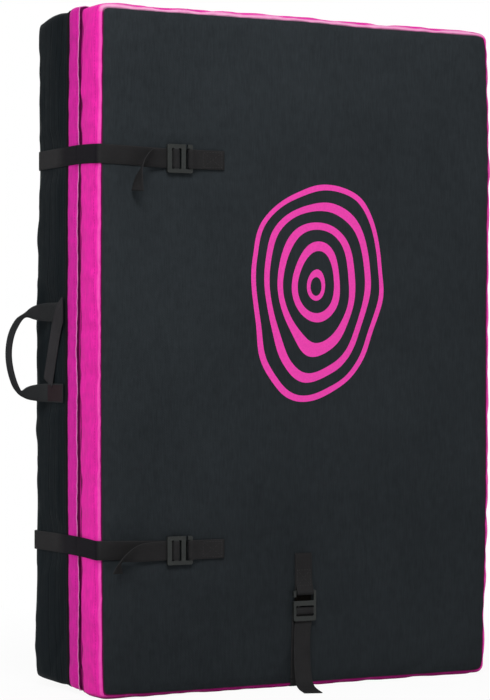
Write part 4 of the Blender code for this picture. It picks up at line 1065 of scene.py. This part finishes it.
def makeSideStrap(name, size, shares):
    # the closure strap with its tail, the sewn loop of its buckle and its run on the rear half
    low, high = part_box(name + "_hook_buckle")
    height = (low.z + high.z) / 2
    throat, load = strap["sideThroat"], strap["load"]
    barX = padX + strap["fromEdge"] - pad["width"] / 2
    place, wide, lift = strapPlace(name + "_hook_buckle", (-1, 0, 0), barX, height)
    makeAnchor(name + "_anchor_loop", place, wide, lift, strap["patch"], throat, sideAnchorWebbing)
    band = height + math.copysign(strap["width"] / 2, middle - height)
    side = halfWidthAt(band) + strap["bulge"] + strap["clear"] + strap["web"] / 2
    reach = strap["fromEdge"] - pad["width"] / 2 + side
    turn, rise = strap["turn"], strap["rise"]
    path = [(reach, -strap["gap"], -rise), (reach, -0.03, -0.85 * rise)]
    for angle in quarterTurn:
        n = load + strap["clear"] - turn + turn * math.sin(angle)
        path.append((reach - turn + turn * math.cos(angle), n, -0.62 * rise))
    loaded = [place(u, n, w) for u, n, w in path]
    points = loaded + [place(u, n) for u, n in threaded(lift, throat)]
    across = [wide] * len(points)
    for point, way in hangingTail(place, wide, lift, size, shares):
        points.append(point)
        across.append(way)
    obj, _, _ = ribbon(name + "_web", webRows(points, across), name, plainWebbing, cuts=3, step=0.002)
    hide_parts(name + "_webbing")
    lie = loaded + [place(slotsOf(throat)[0], load + lift), place(-strap["patch"], load + lift)]
    rows, _ = smoothPath(webRows(lie, wide), 3, 0.004)
    outs = -framesOf(rows)[2]
    pressUnder(frontSkin, rows, outs)
    # the rear run, from the gap back along the side and round onto the back, pressed into the foam
    x, bend, tight = side - strap["sink"], strap["backTurn"], size["tight"]
    back = strap["back"] + strap["clear"] + strap["web"] / 2
    run = [(side, strap["gap"], rise), (side - 0.0002, 0.072, rise), (x, 0.1, rise)]
    run.append((x - 0.001, 0.15, rise))
    for angle in quarterTurn:
        px = x - tight - bend + bend * math.cos(angle)
        run.append((px, back - tight * math.cos(angle) - bend + bend * math.sin(angle), rise))
    run.append((x - bend - strap["lap"], back, rise))
    rows = webRows([(padX - px, faceY + depth, height + up) for px, depth, up in run], wide)
    obj, rows, up = ribbon(name + "_rear_web", rows, "rear_half", sewnRear, cuts=3, step=0.003)
    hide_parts(name + "_rear_webbing")
    sign = np.sign((up[0] * (-1, 0, 0)).sum())
    pressUnder(rearSkin, rows, up * sign)


def hangingTail(place, wide, lift, size, shares):
    # leaves the buckle flat, turns edge-on as it arcs off the face, and hangs
    start = slotsOf(strap["sideThroat"])[2] + strap["web"]
    along, out = np.array([-1.0, 0, 0]), np.array([0, -1.0, 0])
    for forward, standing, drop, twist, beyond in shares:
        turn, lean = math.radians(90 * twist), math.radians(strap["tailLean"] + 90 * beyond)
        way = math.sin(turn) * math.sin(lean) * along - math.cos(turn) * wide
        way = -(way + math.sin(turn) * math.cos(lean) * out)
        n = strap["return"] + lift + size["out"] * standing
        yield place(start + size["left"] * forward, n, size["drop"] * drop), way


def makeBottomStrap():
    # runs under the pad and up its face, a little askew, through the buckle and down again as the tail
    barX = padX + pad["grooveX"]
    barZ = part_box("bottom_strap_hook_buckle")[1].z - strap["hookBar"] / 2
    place, wide, lift = strapPlace("bottom_strap_hook_buckle", (0, 0, -1), barX, barZ)
    throat, load, tail = strap["bottomThroat"], strap["load"], tails["bottom"]
    makeAnchor(
        "bottom_strap_anchor_loop", place, wide, lift, strap["bottomPatch"], throat, bottomAnchorWebbing)
    out = load + strap["clear"]
    edge = place(barZ - 0.01, out, -strap["skew"])
    laced = [place(u, n) for u, n in threaded(lift, throat)]
    path = [edge, np.array(laced[0]) + (-0.0045, 0, -0.004)] + laced
    end = slotsOf(throat)[2] + strap["web"]
    drop = barZ - end - strap["web"] / 2 - tail["rest"]
    start = strap["return"] + lift
    for along, forward, sweep in bottomTailShares:
        n = start + (tail["out"] - start) * forward
        path.append(place(end + drop * along, n, tail["sweep"] * sweep))
    rows = webRows(path, wide)
    obj, _, _ = ribbon("bottom_strap_web", rows, "bottom_strap", plainWebbing, cuts=3, step=0.002)
    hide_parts("bottom_strap_webbing")
    under = [(-out, 0.01), (-out, 0.0025), (0.0006, load), (strap["gap"], load)]
    rows = webRows([(barX - strap["skew"], faceY + depth, z) for depth, z in under], wide)
    obj, _, _ = ribbon("bottom_strap_under_web", rows, "front_half", plainWebbing, cuts=3, step=0.003)
    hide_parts("bottom_strap_under_webbing")
    ends = (strap["gap"], strap["back"] - strap["coverRoll"])
    rows = webRows([(barX, faceY + depth, load) for depth in ends], wide)
    obj, _, _ = ribbon("bottom_strap_rear_web", rows, "rear_half", plainWebbing, cuts=1, step=0.01)
    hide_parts("bottom_strap_rear_webbing")
    lie = [place(-strap["bottomPatch"], load + lift), place(0.02, load + lift), edge]
    lie.append((barX - strap["skew"], faceY - out, 0.002))
    rows, _ = smoothPath(webRows(lie, wide), 2, 0.004)
    outs = framesOf(rows)[2]
    outs = outs * np.sign((outs[0] * (0, -1, 0)).sum())
    pressUnder(frontSkin, rows, outs)


sewnRear = webbingFinish("sewnRear", webColour, [(0.172, 0.19, threadGrey)], shadedDepths=sideRunShade)
makeSideStrap("upper_strap", tails["upper"], upperTailShares)
makeSideStrap("lower_strap", tails["lower"], lowerTailShares)
makeBottomStrap()
print("closure straps made")

# the carry handle: shares of its standout, its reach back and its height, how far it has turned
# from running back to running forward, how far it is rolled up and how much it is pinched
handle = {
    "top": 0.5015, "span": 0.1077, "reach": 0.08, "standout": 0.048, "grip": 0.0135, "gripThick": 0.0078,
    "start": 0.1047, "proud": 0.001, "flat": 0.00095, "darned": 0.041, "strandWidth": 0.029,
}
handleShares = (
    (0, 0, 0, 0, 0, 1), (0, 0.2, 0, 0, 0, 1), (0, 0.37, 0, 0, 0, 1), (0.05, 0.5, 0, 0, 0, 1),
    (0.2, 0.63, 0.002, 0, 0.2, 1), (0.29, 0.69, 0.006, 0.02, 0.4, 1),
    (0.38, 0.755, 0.012, 0.04, 0.7, 0.95), (0.45, 0.8, 0.022, 0.07, 0.95, 0.75),
    (0.52, 0.84, 0.036, 0.12, 1, 0.48), (0.6, 0.88, 0.064, 0.22, 1, 0.55),
    (0.7, 0.92, 0.115, 0.3, 1, 0.86), (0.85, 0.98, 0.27, 0.42, 1, 1), (0.92, 1, 0.48, 0.5, 1, 1),
    (0.89, 0.99, 0.68, 0.58, 1, 1), (0.79, 0.95, 0.87, 0.68, 1, 0.92),
    (0.72, 0.92, 0.945, 0.76, 1, 0.74), (0.64, 0.89, 1.005, 0.86, 1, 0.48),
    (0.57, 0.855, 1.012, 0.93, 0.95, 0.75), (0.48, 0.81, 1.008, 0.97, 0.6, 0.95),
    (0.33, 0.72, 1, 0.99, 0.3, 1), (0.18, 0.62, 1, 1, 0.1, 1), (0.05, 0.5, 1, 1, 0, 1),
    (0, 0.37, 1, 1, 0, 1), (0, 0.2, 1, 1, 0, 1), (0, 0, 1, 1, 0, 1),
)
# the middle of the strand, as depth behind the face and height
strandPath = (
    (0.103, 0.5055), (0.115, 0.4945), (0.1265, 0.4695),
    (0.1365, 0.4415), (0.147, 0.4135), (0.149, 0.4075),
)


def makeHandle():
    # the loop, rolled to a grip in its middle, and the strand laid over both of its arms
    side = padX - halfWidthAt(middle) - handle["proud"]
    face = side - handle["flat"]
    rows = []
    for out, back, down, turned, rolled, pinch in handleShares:
        x = face - (handle["standout"] + strap["bulge"] - handle["flat"] - handle["proud"]) * out
        angle = math.pi * turned
        width = (strap["width"] + (handle["grip"] - strap["width"]) * rolled) * pinch
        thick = (strap["web"] + (handle["gripThick"] - strap["web"]) * rolled) * pinch
        y, z = faceY + handle["start"] + handle["reach"] * back, handle["top"] - handle["span"] * down
        rows.append([x, y, z, 0, math.sin(angle), math.cos(angle), width, thick, rolled])
    length = smoothPath(rows, 3, 0.002)[1][-1]
    tacks = [(0.004, 0.007, threadGrey), (0.01, 0.013, threadGrey)]
    tacks.append((length - handle["darned"], length - 0.001, threadBrown))
    finish = webbingFinish("handleWebbing", fabric["arm"], (), tacks)
    obj, _, _ = ribbon("handle_web", rows, "handle", finish, cuts=3, step=0.002)
    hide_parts("carry_handle")
    over = face - strap["web"] - strap["clear"]
    rows = []
    for i, (depth, z) in enumerate(strandPath):
        way = (0, 0, 1) if i == 0 else (0, 0.9, 0.4)
        width = handle["strandWidth"] + (0.002 if i == 0 else 0)
        rows.append([over, faceY + depth, z, *way, width, strap["web"]])
    obj, strandRows, up = ribbon(
        "handle_strand_web", rows, "handle", strandWebbing, cuts=3, step=0.002, skew=True)
    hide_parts("handle_strand")
    for z in (handle["top"], handle["top"] - handle["span"]):
        arm = [(face, faceY + handle["start"] + reach, z) for reach in np.linspace(0, 0.05, 12)]
        arm = np.array(webRows(arm, (0, 0, 1)))
        pressUnder(rearSkin, arm, np.repeat([[-1.0, 0, 0]], 12, 0), clear=0.001)
    outs = up * np.sign((up[0] * (-1, 0, 0)).sum())
    pressUnder(rearSkin, strandRows, outs, clear=0.0012)


makeHandle()
print("handle made")

# the skins get their finishes, now that nothing moves them any more
v = {
    "seam": frontDown[1], "mid": frontDown[4], "roll": frontDown[6], "gap": frontDown[frontSeam],
    "rearGap": rearDown[rearSeam], "binding": rearDown[bindingStart], "cover": rearDown[coverStart],
    "back": rearDown[-1],
}
pinkCloth = {
    **shell, "fade": 0.1, "rough": 0.52, "creases": 0.003, "creaseScale": (30.0, 30.0, 22.0),
    "thread": 0.72,
}
charcoalShell = faceFinish()
pinkShell = shellCloth("pinkShell", fabric["pink"], {
    # the front pink gets painted shade along its bottom edge
    **pinkCloth, "rows": (v["roll"] + 0.0045, v["gap"] - 0.004), "floorShade": ((0.007, 0.003),),
    # painted shade at the face seam and in the fold gap
    "seams": ((v["seam"], 0.0022, 0.12), (v["gap"] + 0.002, 0.0066, 0.15)),
    # painted highlights on the front pink: along the face's rolled edge, and along the top where light
    # from above falls
    "paintedHighlights": (
        (v["mid"] - 0.0004, 0.0029, fabric["rolled"], -1.0),
        (v["mid"] - 0.0008, 0.005, fabric["topHighlight"], 0.886),
    ),
})
rearPinkShell = shellCloth("rearPinkShell", fabric["rearPink"], {
    **pinkCloth, "rows": (v["rearGap"] + 0.004, v["binding"] - 0.003),
    # painted shade at the fold gap and beside the binding
    "seams": ((0.0, 0.0044, 0.14), (v["binding"], 0.0042, 0.1)),
})
blackShell = shellCloth("blackShell", fabric["black"], {
    **shell, "rough": 0.66, "creases": 0.0034, "creaseScale": (40.0, 60.0, 7.0), "thread": 2.4,
    # along the back roll the cover gets wear and a painted highlight
    "rows": (v["cover"] + 0.004, v["cover"] + 0.078), "wornAndLit": ((v["back"] - 0.01, 0.012),),
    # each fold is a relief with painted shade along its line
    "folds": (
        (v["cover"] + 0.0125, 0.0016, 0.0007), (v["cover"] + 0.0235, 0.0014, 0.0006),
        (v["cover"] + 0.041, 0.0018, 0.0006),
    ),
    # a painted highlight along the back roll, in the rubbed colour
    "paintedHighlights": ((v["back"] - 0.0098, 0.0085, fabric["rubbed"], -1.0),),
})
landingKind = {**shell, "rough": 0.8, "creaseScale": (12.0, 12.0, 12.0)}
landingShell = shellCloth("landingShell", fabric["black"], landingKind)
frontStands = (
    "front_base_panel", "front_gusset", "front_landing_panel", "front_core_foam", "front_top_foam",
)
rearStands = (
    "rear_landing_panel", "rear_gusset", "back_cover", "rear_top_foam", "rear_core_foam",
    "rear_base_sheet", "back_padding",
)
for skin, finishes, body, stands in (
    (frontSkin, (charcoalShell, pinkShell, landingShell), "front_half", frontStands),
    (rearSkin, (landingShell, rearPinkShell, blackShell), "rear_half", rearStands),
):
    for finish in finishes:
        skin.data.materials.append(finish.material)
    subdivide(skin)
    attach(skin, body)
    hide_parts(*stands)
print("halves dressed")


def loopTube(name, centres, outs, radius, finish, body, sides=8):
    # a closed round cord along a closed ring of points, with outs as the direction of its outside:
    # centre + radius (out cos a + across sin a)
    tangent = unit(np.roll(centres, -1, 0) - np.roll(centres, 1, 0))
    outs = unit(outs - tangent * (outs * tangent).sum(1)[:, None])
    across = np.cross(tangent, outs)
    angle = np.arange(sides) * 2 * math.pi / sides
    cosine, sine = np.cos(angle)[None, :, None], np.sin(angle)[None, :, None]
    points = centres[:, None] + radius * (outs[:, None] * cosine + across[:, None] * sine)
    run = runAlong(centres)
    run = np.append(run, run[-1])
    uv = np.stack([np.repeat(run[:, None], sides, 1), np.repeat(angle[None] * radius, len(run), 0)], -1)
    quads = gridQuads(len(run), sides, 0, True) % (len(centres) * sides)
    obj = makeMesh(name, points.reshape(-1, 3), quads, cornersOf(uv, True).reshape(-1, 2))
    obj.data.materials.append(finish.material)
    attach(obj, body)
    return obj


def loopBand(name, skin, around, rings, lift, thick, finish, body, stands):
    # tape sewn over rings of a skin: proud by lift between its two edges, closed underneath
    points, normals = pointsOf(skin), normalsOf(skin)
    rows = []
    profile = [(ring, lift if 0 < i < len(rings) - 1 else 0.2 * lift) for i, ring in enumerate(rings)]
    profile += [(ring, -thick) for ring in rings[::-1]]
    for ring, up in profile:
        numbers = ring * around + np.arange(around)
        rows.append(points[numbers] + normals[numbers] * up)
    grid = np.array(rows)
    run = runAlong(grid[0])
    run = np.append(run, run[-1] + 0.008)
    down = np.append(runAlong(grid[:, 0]), 0)
    uv = np.stack(np.meshgrid(run, down), -1)
    count = len(grid)
    index = np.arange(count * around).reshape(count, around)
    index = np.vstack([index, index[:1]])
    index = np.hstack([index, index[:, :1]])
    quads = cornersOf(index[..., None])[..., 0][:, ::-1]
    obj = makeMesh(name, grid.reshape(-1, 3), quads, cornersOf(uv)[:, ::-1].reshape(-1, 2))
    obj.data.materials.append(finish.material)
    subdivide(obj)
    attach(obj, body)
    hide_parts(stands)


tapeFinish = webbingFinish("bindingTape", fabric["tape"], width=0.0075)
weltFinish = shellCloth("weltCordHighlight", fabric["welt"], {
    **shell, "rough": 0.5, "fade": 0.05, "creases": 0.0006, "creaseScale": (90.0, 90.0, 90.0),
})
bindingRings = list(range(bindingStart, coverStart + 1))
loopBand("cover_binding_tape", rearSkin, rearAround, bindingRings, 0.001, 0.0006,
         tapeFinish, "rear_half", "cover_binding")
# the welt cord along the rear half's lip is coloured pale as a painted highlight where light catches the
# edge
weltNumbers = (rearSeam - 1) * rearAround + np.arange(rearAround)
weltOuts = normalsOf(rearSkin)[weltNumbers]
weltCentres = pointsOf(rearSkin)[weltNumbers] + weltOuts * 0.0002
welt = loopTube("rear_welt", weltCentres, weltOuts, 0.0006, weltFinish, "rear_half")
print("tape and welt sewn on")


def paddedFinish():
    # the harness: open mesh over foam, bound with tape along the border, sewn beside the tape
    finish = Finish("harnessMesh", Sheen_Weight=0.0, Specular_IOR_Level=0.07)
    where = finish.place()
    u, v, _ = finish.axes(finish.place("UV"))
    away, along, _ = finish.axes(finish.add("ShaderNodeUVMap", {"uv_map": "edge"}))
    pitch = math.pi / 0.0022
    holes = ((u + v) * pitch).maths("SINE") * ((u - v) * pitch).maths("SINE")
    taped = away < 0.006
    ribs = (along * (2 * math.pi / 0.0016)).maths("SINE")
    level = finish.between(finish.noise(where, 24.0, 3.0), 0.3, 0.7, 0.35, 0.65) + holes * 0.1
    base = finish.mix(level, tint(fabric["mesh"], 0.6), tint(fabric["mesh"], 1.5))
    base = finish.mix(taped, base, tint(fabric["tape"], 1.2))
    stitches = stitchMask(along, away, 0.0045)
    base = finish.mix(stitches, base, (0.05, 0.05, 0.052, 1))
    normal = finish.relief(holes * (1 - taped) + ribs * taped * 0.4 + taped * 1.5, 0.0004, 0.8)
    finish.feed("Base Color", base)
    finish.feed("Normal", finish.relief(stitches, 0.0005, 0.8, normal))
    finish.feed("Roughness", finish.between(finish.noise(where, 300.0), 0.3, 0.7, 0.72, 0.88))
    return finish


harnessFinish = paddedFinish()
for obj, _, _, body, stands in harnessPads:
    obj.data.materials.append(harnessFinish.material)
    subdivide(obj)
    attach(obj, body)
    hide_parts(stands)


def makeHarnessWebbing():
    # from each shoulder's ladder lock down to the back's lower corner, its tail, and the belt's ends
    low = strap["clear"] + strap["web"] / 2
    top = harness["yokeTop"] - harness["yokeHeight"] - harness["clear"] - harness["length"]
    foot = top - harness["clear"] - harness["lockLength"]
    plate = low + strap["web"] / 2 + strap["clear"] + harness["lockPlate"] / 2
    for side, sign in (("left", -1), ("right", 1)):
        x = padX + sign * (harness["shoulderX"] + harness["spread"])
        head = np.array([x, backY + low, foot])
        end = np.array([padX + sign * harness["lowerX"], backY + low, harness["lowerHeight"]])
        run = end - head
        wide = np.cross(run, (0, 1, 0)) / np.linalg.norm(run)
        path = [head + run * t for t in np.linspace(0, 1, 8)]
        obj, _, _ = ribbon("lower_web_" + side, webRows(path, wide), None, sewnLower, cuts=1, step=0.006)
        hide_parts("lower_webbing_" + side)
        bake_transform(obj)
        points = [(x, backY + plate, foot - strap["clear"])]
        points.append((x, backY + plate + 0.001, foot - harness["tail"] / 2))
        loose = (x - sign * strap["width"] / 4, backY + plate + strap["web"], foot - harness["tail"])
        points.append(loose)
        rows = webRows(points, (1, 0, 0))
        obj, _, _ = ribbon("lock_tail_web_" + side, rows, "shoulder_" + side, plainWebbing, step=0.003)
        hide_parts("lock_tail_" + side)
        start = harness["beltHinge"] - harness["wing"] - harness["clear"]
        level = backBase + harness["buckleThickness"] / 2
        places = [padX + sign * (start - t * harness["beltWeb"]) for t in (-0.2, 0.5, 1)]
        rows = webRows([(x, level, harness["beltHeight"]) for x in places], (0, 0, 1))
        obj, _, _ = ribbon("belt_web_" + side, rows, "belt_" + side, plainWebbing, step=0.003)
        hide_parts("belt_webbing_" + side)


sewnLower = webbingFinish("sewnLower", webColour, [(0.262, 0.284, threadGrey)])
makeHarnessWebbing()

# the fold's hinge: a flap sewn to both halves, over a roll of fabric
hinge = {"flap": 0.046, "thick": 0.0012, "rise": 0.005, "roll": 0.0095}


def makeHinge():
    # its section rises in the middle as a bell, and its edges drop as the 8th power
    low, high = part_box("hinge_fabric")
    depth = (low.y + high.y) / 2
    side = padX + pad["width"] / 2
    v = np.linspace(-1, 1, 25) * hinge["flap"] / 2
    over = 0.0022 + hinge["rise"] * bump(v, hinge["roll"]) - 0.0012 * (np.abs(v) / v.max()) ** 8
    section = np.vstack([np.stack([v, over], 1), np.stack([v, over - hinge["thick"]], 1)[::-1]])
    rows = []
    for z in np.linspace(low.z, high.z, 90):
        rows.append([padX + halfWidthAt(z), depth, z, 0, -1, 0, 2.0, 1.0])
    obj, _, _ = ribbon("hinge_flap", rows, None, hingeFinish, cuts=1, step=0.008,
                       flutter=0.0005, seed=21, section=section)
    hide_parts("hinge_fabric")
    start, end = (side, depth + 0.004, middle), (side, depth - 0.004, middle)
    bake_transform(obj)
    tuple(start)
    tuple(end)


hingeKind = {**shell, "rough": 0.7, "creaseScale": (60.0, 60.0, 12.0)}
hingeFinish = shellCloth("hingeCloth", fabric["black"], hingeKind)
makeHinge()


def mouldedFinish():
    # moulded nylon: fine spark texture, flow marks and rubbed edges
    finish = Finish("mouldedNylon", Specular_IOR_Level=0.22)
    where = finish.place()
    grain = finish.noise(where, 2600.0, 2.0)
    flow = finish.noise(finish.scaled(where, (60.0, 60.0, 180.0)), 1.0, 3.0)
    scuffs = finish.noise(finish.scaled(where, (900.0, 900.0, 160.0)), 1.0, 4.0, 0.7)
    level = finish.between(flow, 0.3, 0.7, 0.3, 0.7) + finish.between(scuffs, 0.62, 0.78, 0.0, 0.5)
    dull, rubbed = tint(fabric["plastic"], 0.72), tint(fabric["plastic"], 1.5)
    finish.feed("Base Color", finish.mix(level, dull, rubbed))
    finish.feed("Roughness", finish.between(grain, 0.3, 0.7, 0.34, 0.5))
    finish.feed("Normal", finish.relief(grain, 0.00006, 0.6, finish.relief(flow, 0.0003, 0.4)))
    return finish


moulded = mouldedFinish()
hardware = (
    "upper_strap_hook_buckle", "lower_strap_hook_buckle", "bottom_strap_hook_buckle",
    "ladder_lock_left", "ladder_lock_right", "buckle_insert", "buckle_socket",
)
for name in hardware:
    node = nodes[name]
    node.data.materials.clear()
    node.data.materials.append(moulded.material)
    weld = node.modifiers.new("Weld", "WELD")
    weld.merge_threshold = 0.00002
    bevel = node.modifiers.new("Bevel", "BEVEL")
    bevel.width, bevel.segments = (0.0012, 4) if "hook" in name else (0.0008, 3)
    bevel.limit_method, bevel.angle_limit = "ANGLE", math.radians(40)
    bevel.harden_normals = True
print("hardware finished")

# measured from the seam at the pad's open corner, with the focal length in pixels
camera = {
    "azimuth": 28.5, "distance": 3.3, "offset": 0.185, "height": 0.451, "focal": 2566, "pixels": 700,
    "seam": 0.0045,
}


def setCamera():
    angle = math.radians(camera["azimuth"])
    ahead = np.array([math.sin(angle), math.cos(angle), 0])
    aside = np.array([math.cos(angle), -math.sin(angle), 0])
    corner = np.array([padX - pad["width"] / 2 + camera["seam"], faceY, camera["height"]])
    data = bpy.data.cameras.new("photoCamera")
    data.sensor_width = 36
    data.lens = data.sensor_width * camera["focal"] / camera["pixels"]
    data.clip_end = 50
    obj = bpy.data.objects.new("photoCamera", data)
    obj.location = corner + camera["offset"] * aside - camera["distance"] * ahead
    obj.rotation_euler = (math.pi / 2, 0, -angle)
    scene.collection.objects.link(obj)
    scene.camera = obj


def addLamp(name, place, target, size, power):
    data = bpy.data.lights.new(name, "AREA")
    data.shape = "RECTANGLE"
    data.size, data.size_y = size
    data.energy = power
    obj = bpy.data.objects.new(name, data)
    obj.location = place
    way = np.array(target) - np.array(place)
    level = math.hypot(way[0], way[1])
    obj.rotation_euler = (math.atan2(level, -way[2]), 0, math.atan2(-way[0], way[1]))
    scene.collection.objects.link(obj)


def seenDirectly(tree):
    # 1 for what the camera, gloss and glass see, 0 for the light that falls on things
    path = tree.nodes.new("ShaderNodeLightPath")
    found = path.outputs["Is Camera Ray"]
    for kind in ("Is Glossy Ray", "Is Transmission Ray"):
        either = tree.nodes.new("ShaderNodeMath")
        either.operation = "MAXIMUM"
        tree.links.new(found, either.inputs[0])
        tree.links.new(path.outputs[kind], either.inputs[1])
        found = either.outputs[0]
    return found


light = {
    "world": 0.33, "floor": 0.9, "whiteNear": 0.93, "whiteFrom": 0.4, "whiteTo": 1.1, "reach": 12.0,
}
# place, what it is turned to, its two sides and its power
lamps = {
    "keyLamp": ((-1.0, -1.9, 2.6), (0, 0, 0.55), (1.4, 1.2), 58),
    "fillLamp": ((2.8, -2.4, 1.6), (0, 0, 0.45), (2.0, 2.0), 8),
    "sideLamp": ((-3.4, 0.6, 1.6), (0, 0, 0.45), (1.8, 1.8), 26),
    "backLamp": ((1.4, 3.0, 2.6), (0, 0, 0.45), (1.8, 1.8), 26),
}


def setStage():
    world = bpy.data.worlds.new("studio")
    world.use_nodes = True
    tree = world.node_tree
    ground = tree.nodes["Background"]
    ground.inputs["Color"].default_value = (1, 1, 1, 1)
    ground.inputs["Strength"].default_value = light["world"]
    white = tree.nodes.new("ShaderNodeBackground")
    white.inputs["Color"].default_value = (1, 1, 1, 1)
    blend = tree.nodes.new("ShaderNodeMixShader")
    tree.links.new(seenDirectly(tree), blend.inputs[0])
    tree.links.new(ground.outputs[0], blend.inputs[1])
    tree.links.new(white.outputs[0], blend.inputs[2])
    tree.links.new(blend.outputs[0], tree.nodes["World Output"].inputs["Surface"])
    scene.world = world
    reach = light["reach"]
    corners = np.array([[-reach, -reach, 0], [reach, -reach, 0], [reach, reach, 0], [-reach, reach, 0]])
    floor = makeMesh("studio_floor", corners, np.array([[0, 1, 2, 3]]))
    paleColour = tint((1, 1, 1), light["floor"])
    pale = Finish("paleFloor", Base_Color=paleColour, Roughness=0.9, Specular_IOR_Level=0.0)
    # the floor turns plain white for the camera away from the object
    far = pale.add("ShaderNodeVectorMath", {"operation": "LENGTH"}, {0: pale.place()}, 1)
    share = pale.between(far, light["whiteFrom"], light["whiteTo"], light["whiteNear"], 1.0)
    share = share * Wire(pale, seenDirectly(pale.tree))
    glow = pale.tree.nodes.new("ShaderNodeEmission")
    mixed = pale.tree.nodes.new("ShaderNodeMixShader")
    pale.connect(mixed.inputs[0], share)
    pale.tree.links.new(pale.shader.outputs[0], mixed.inputs[1])
    pale.tree.links.new(glow.outputs[0], mixed.inputs[2])
    pale.tree.links.new(mixed.outputs[0], pale.tree.nodes["Material Output"].inputs["Surface"])
    floor.data.materials.append(pale.material)
    for name, settings in lamps.items():
        addLamp(name, *settings)


scene.view_settings.view_transform = "Standard"
setCamera()
setStage()
print("stage set")
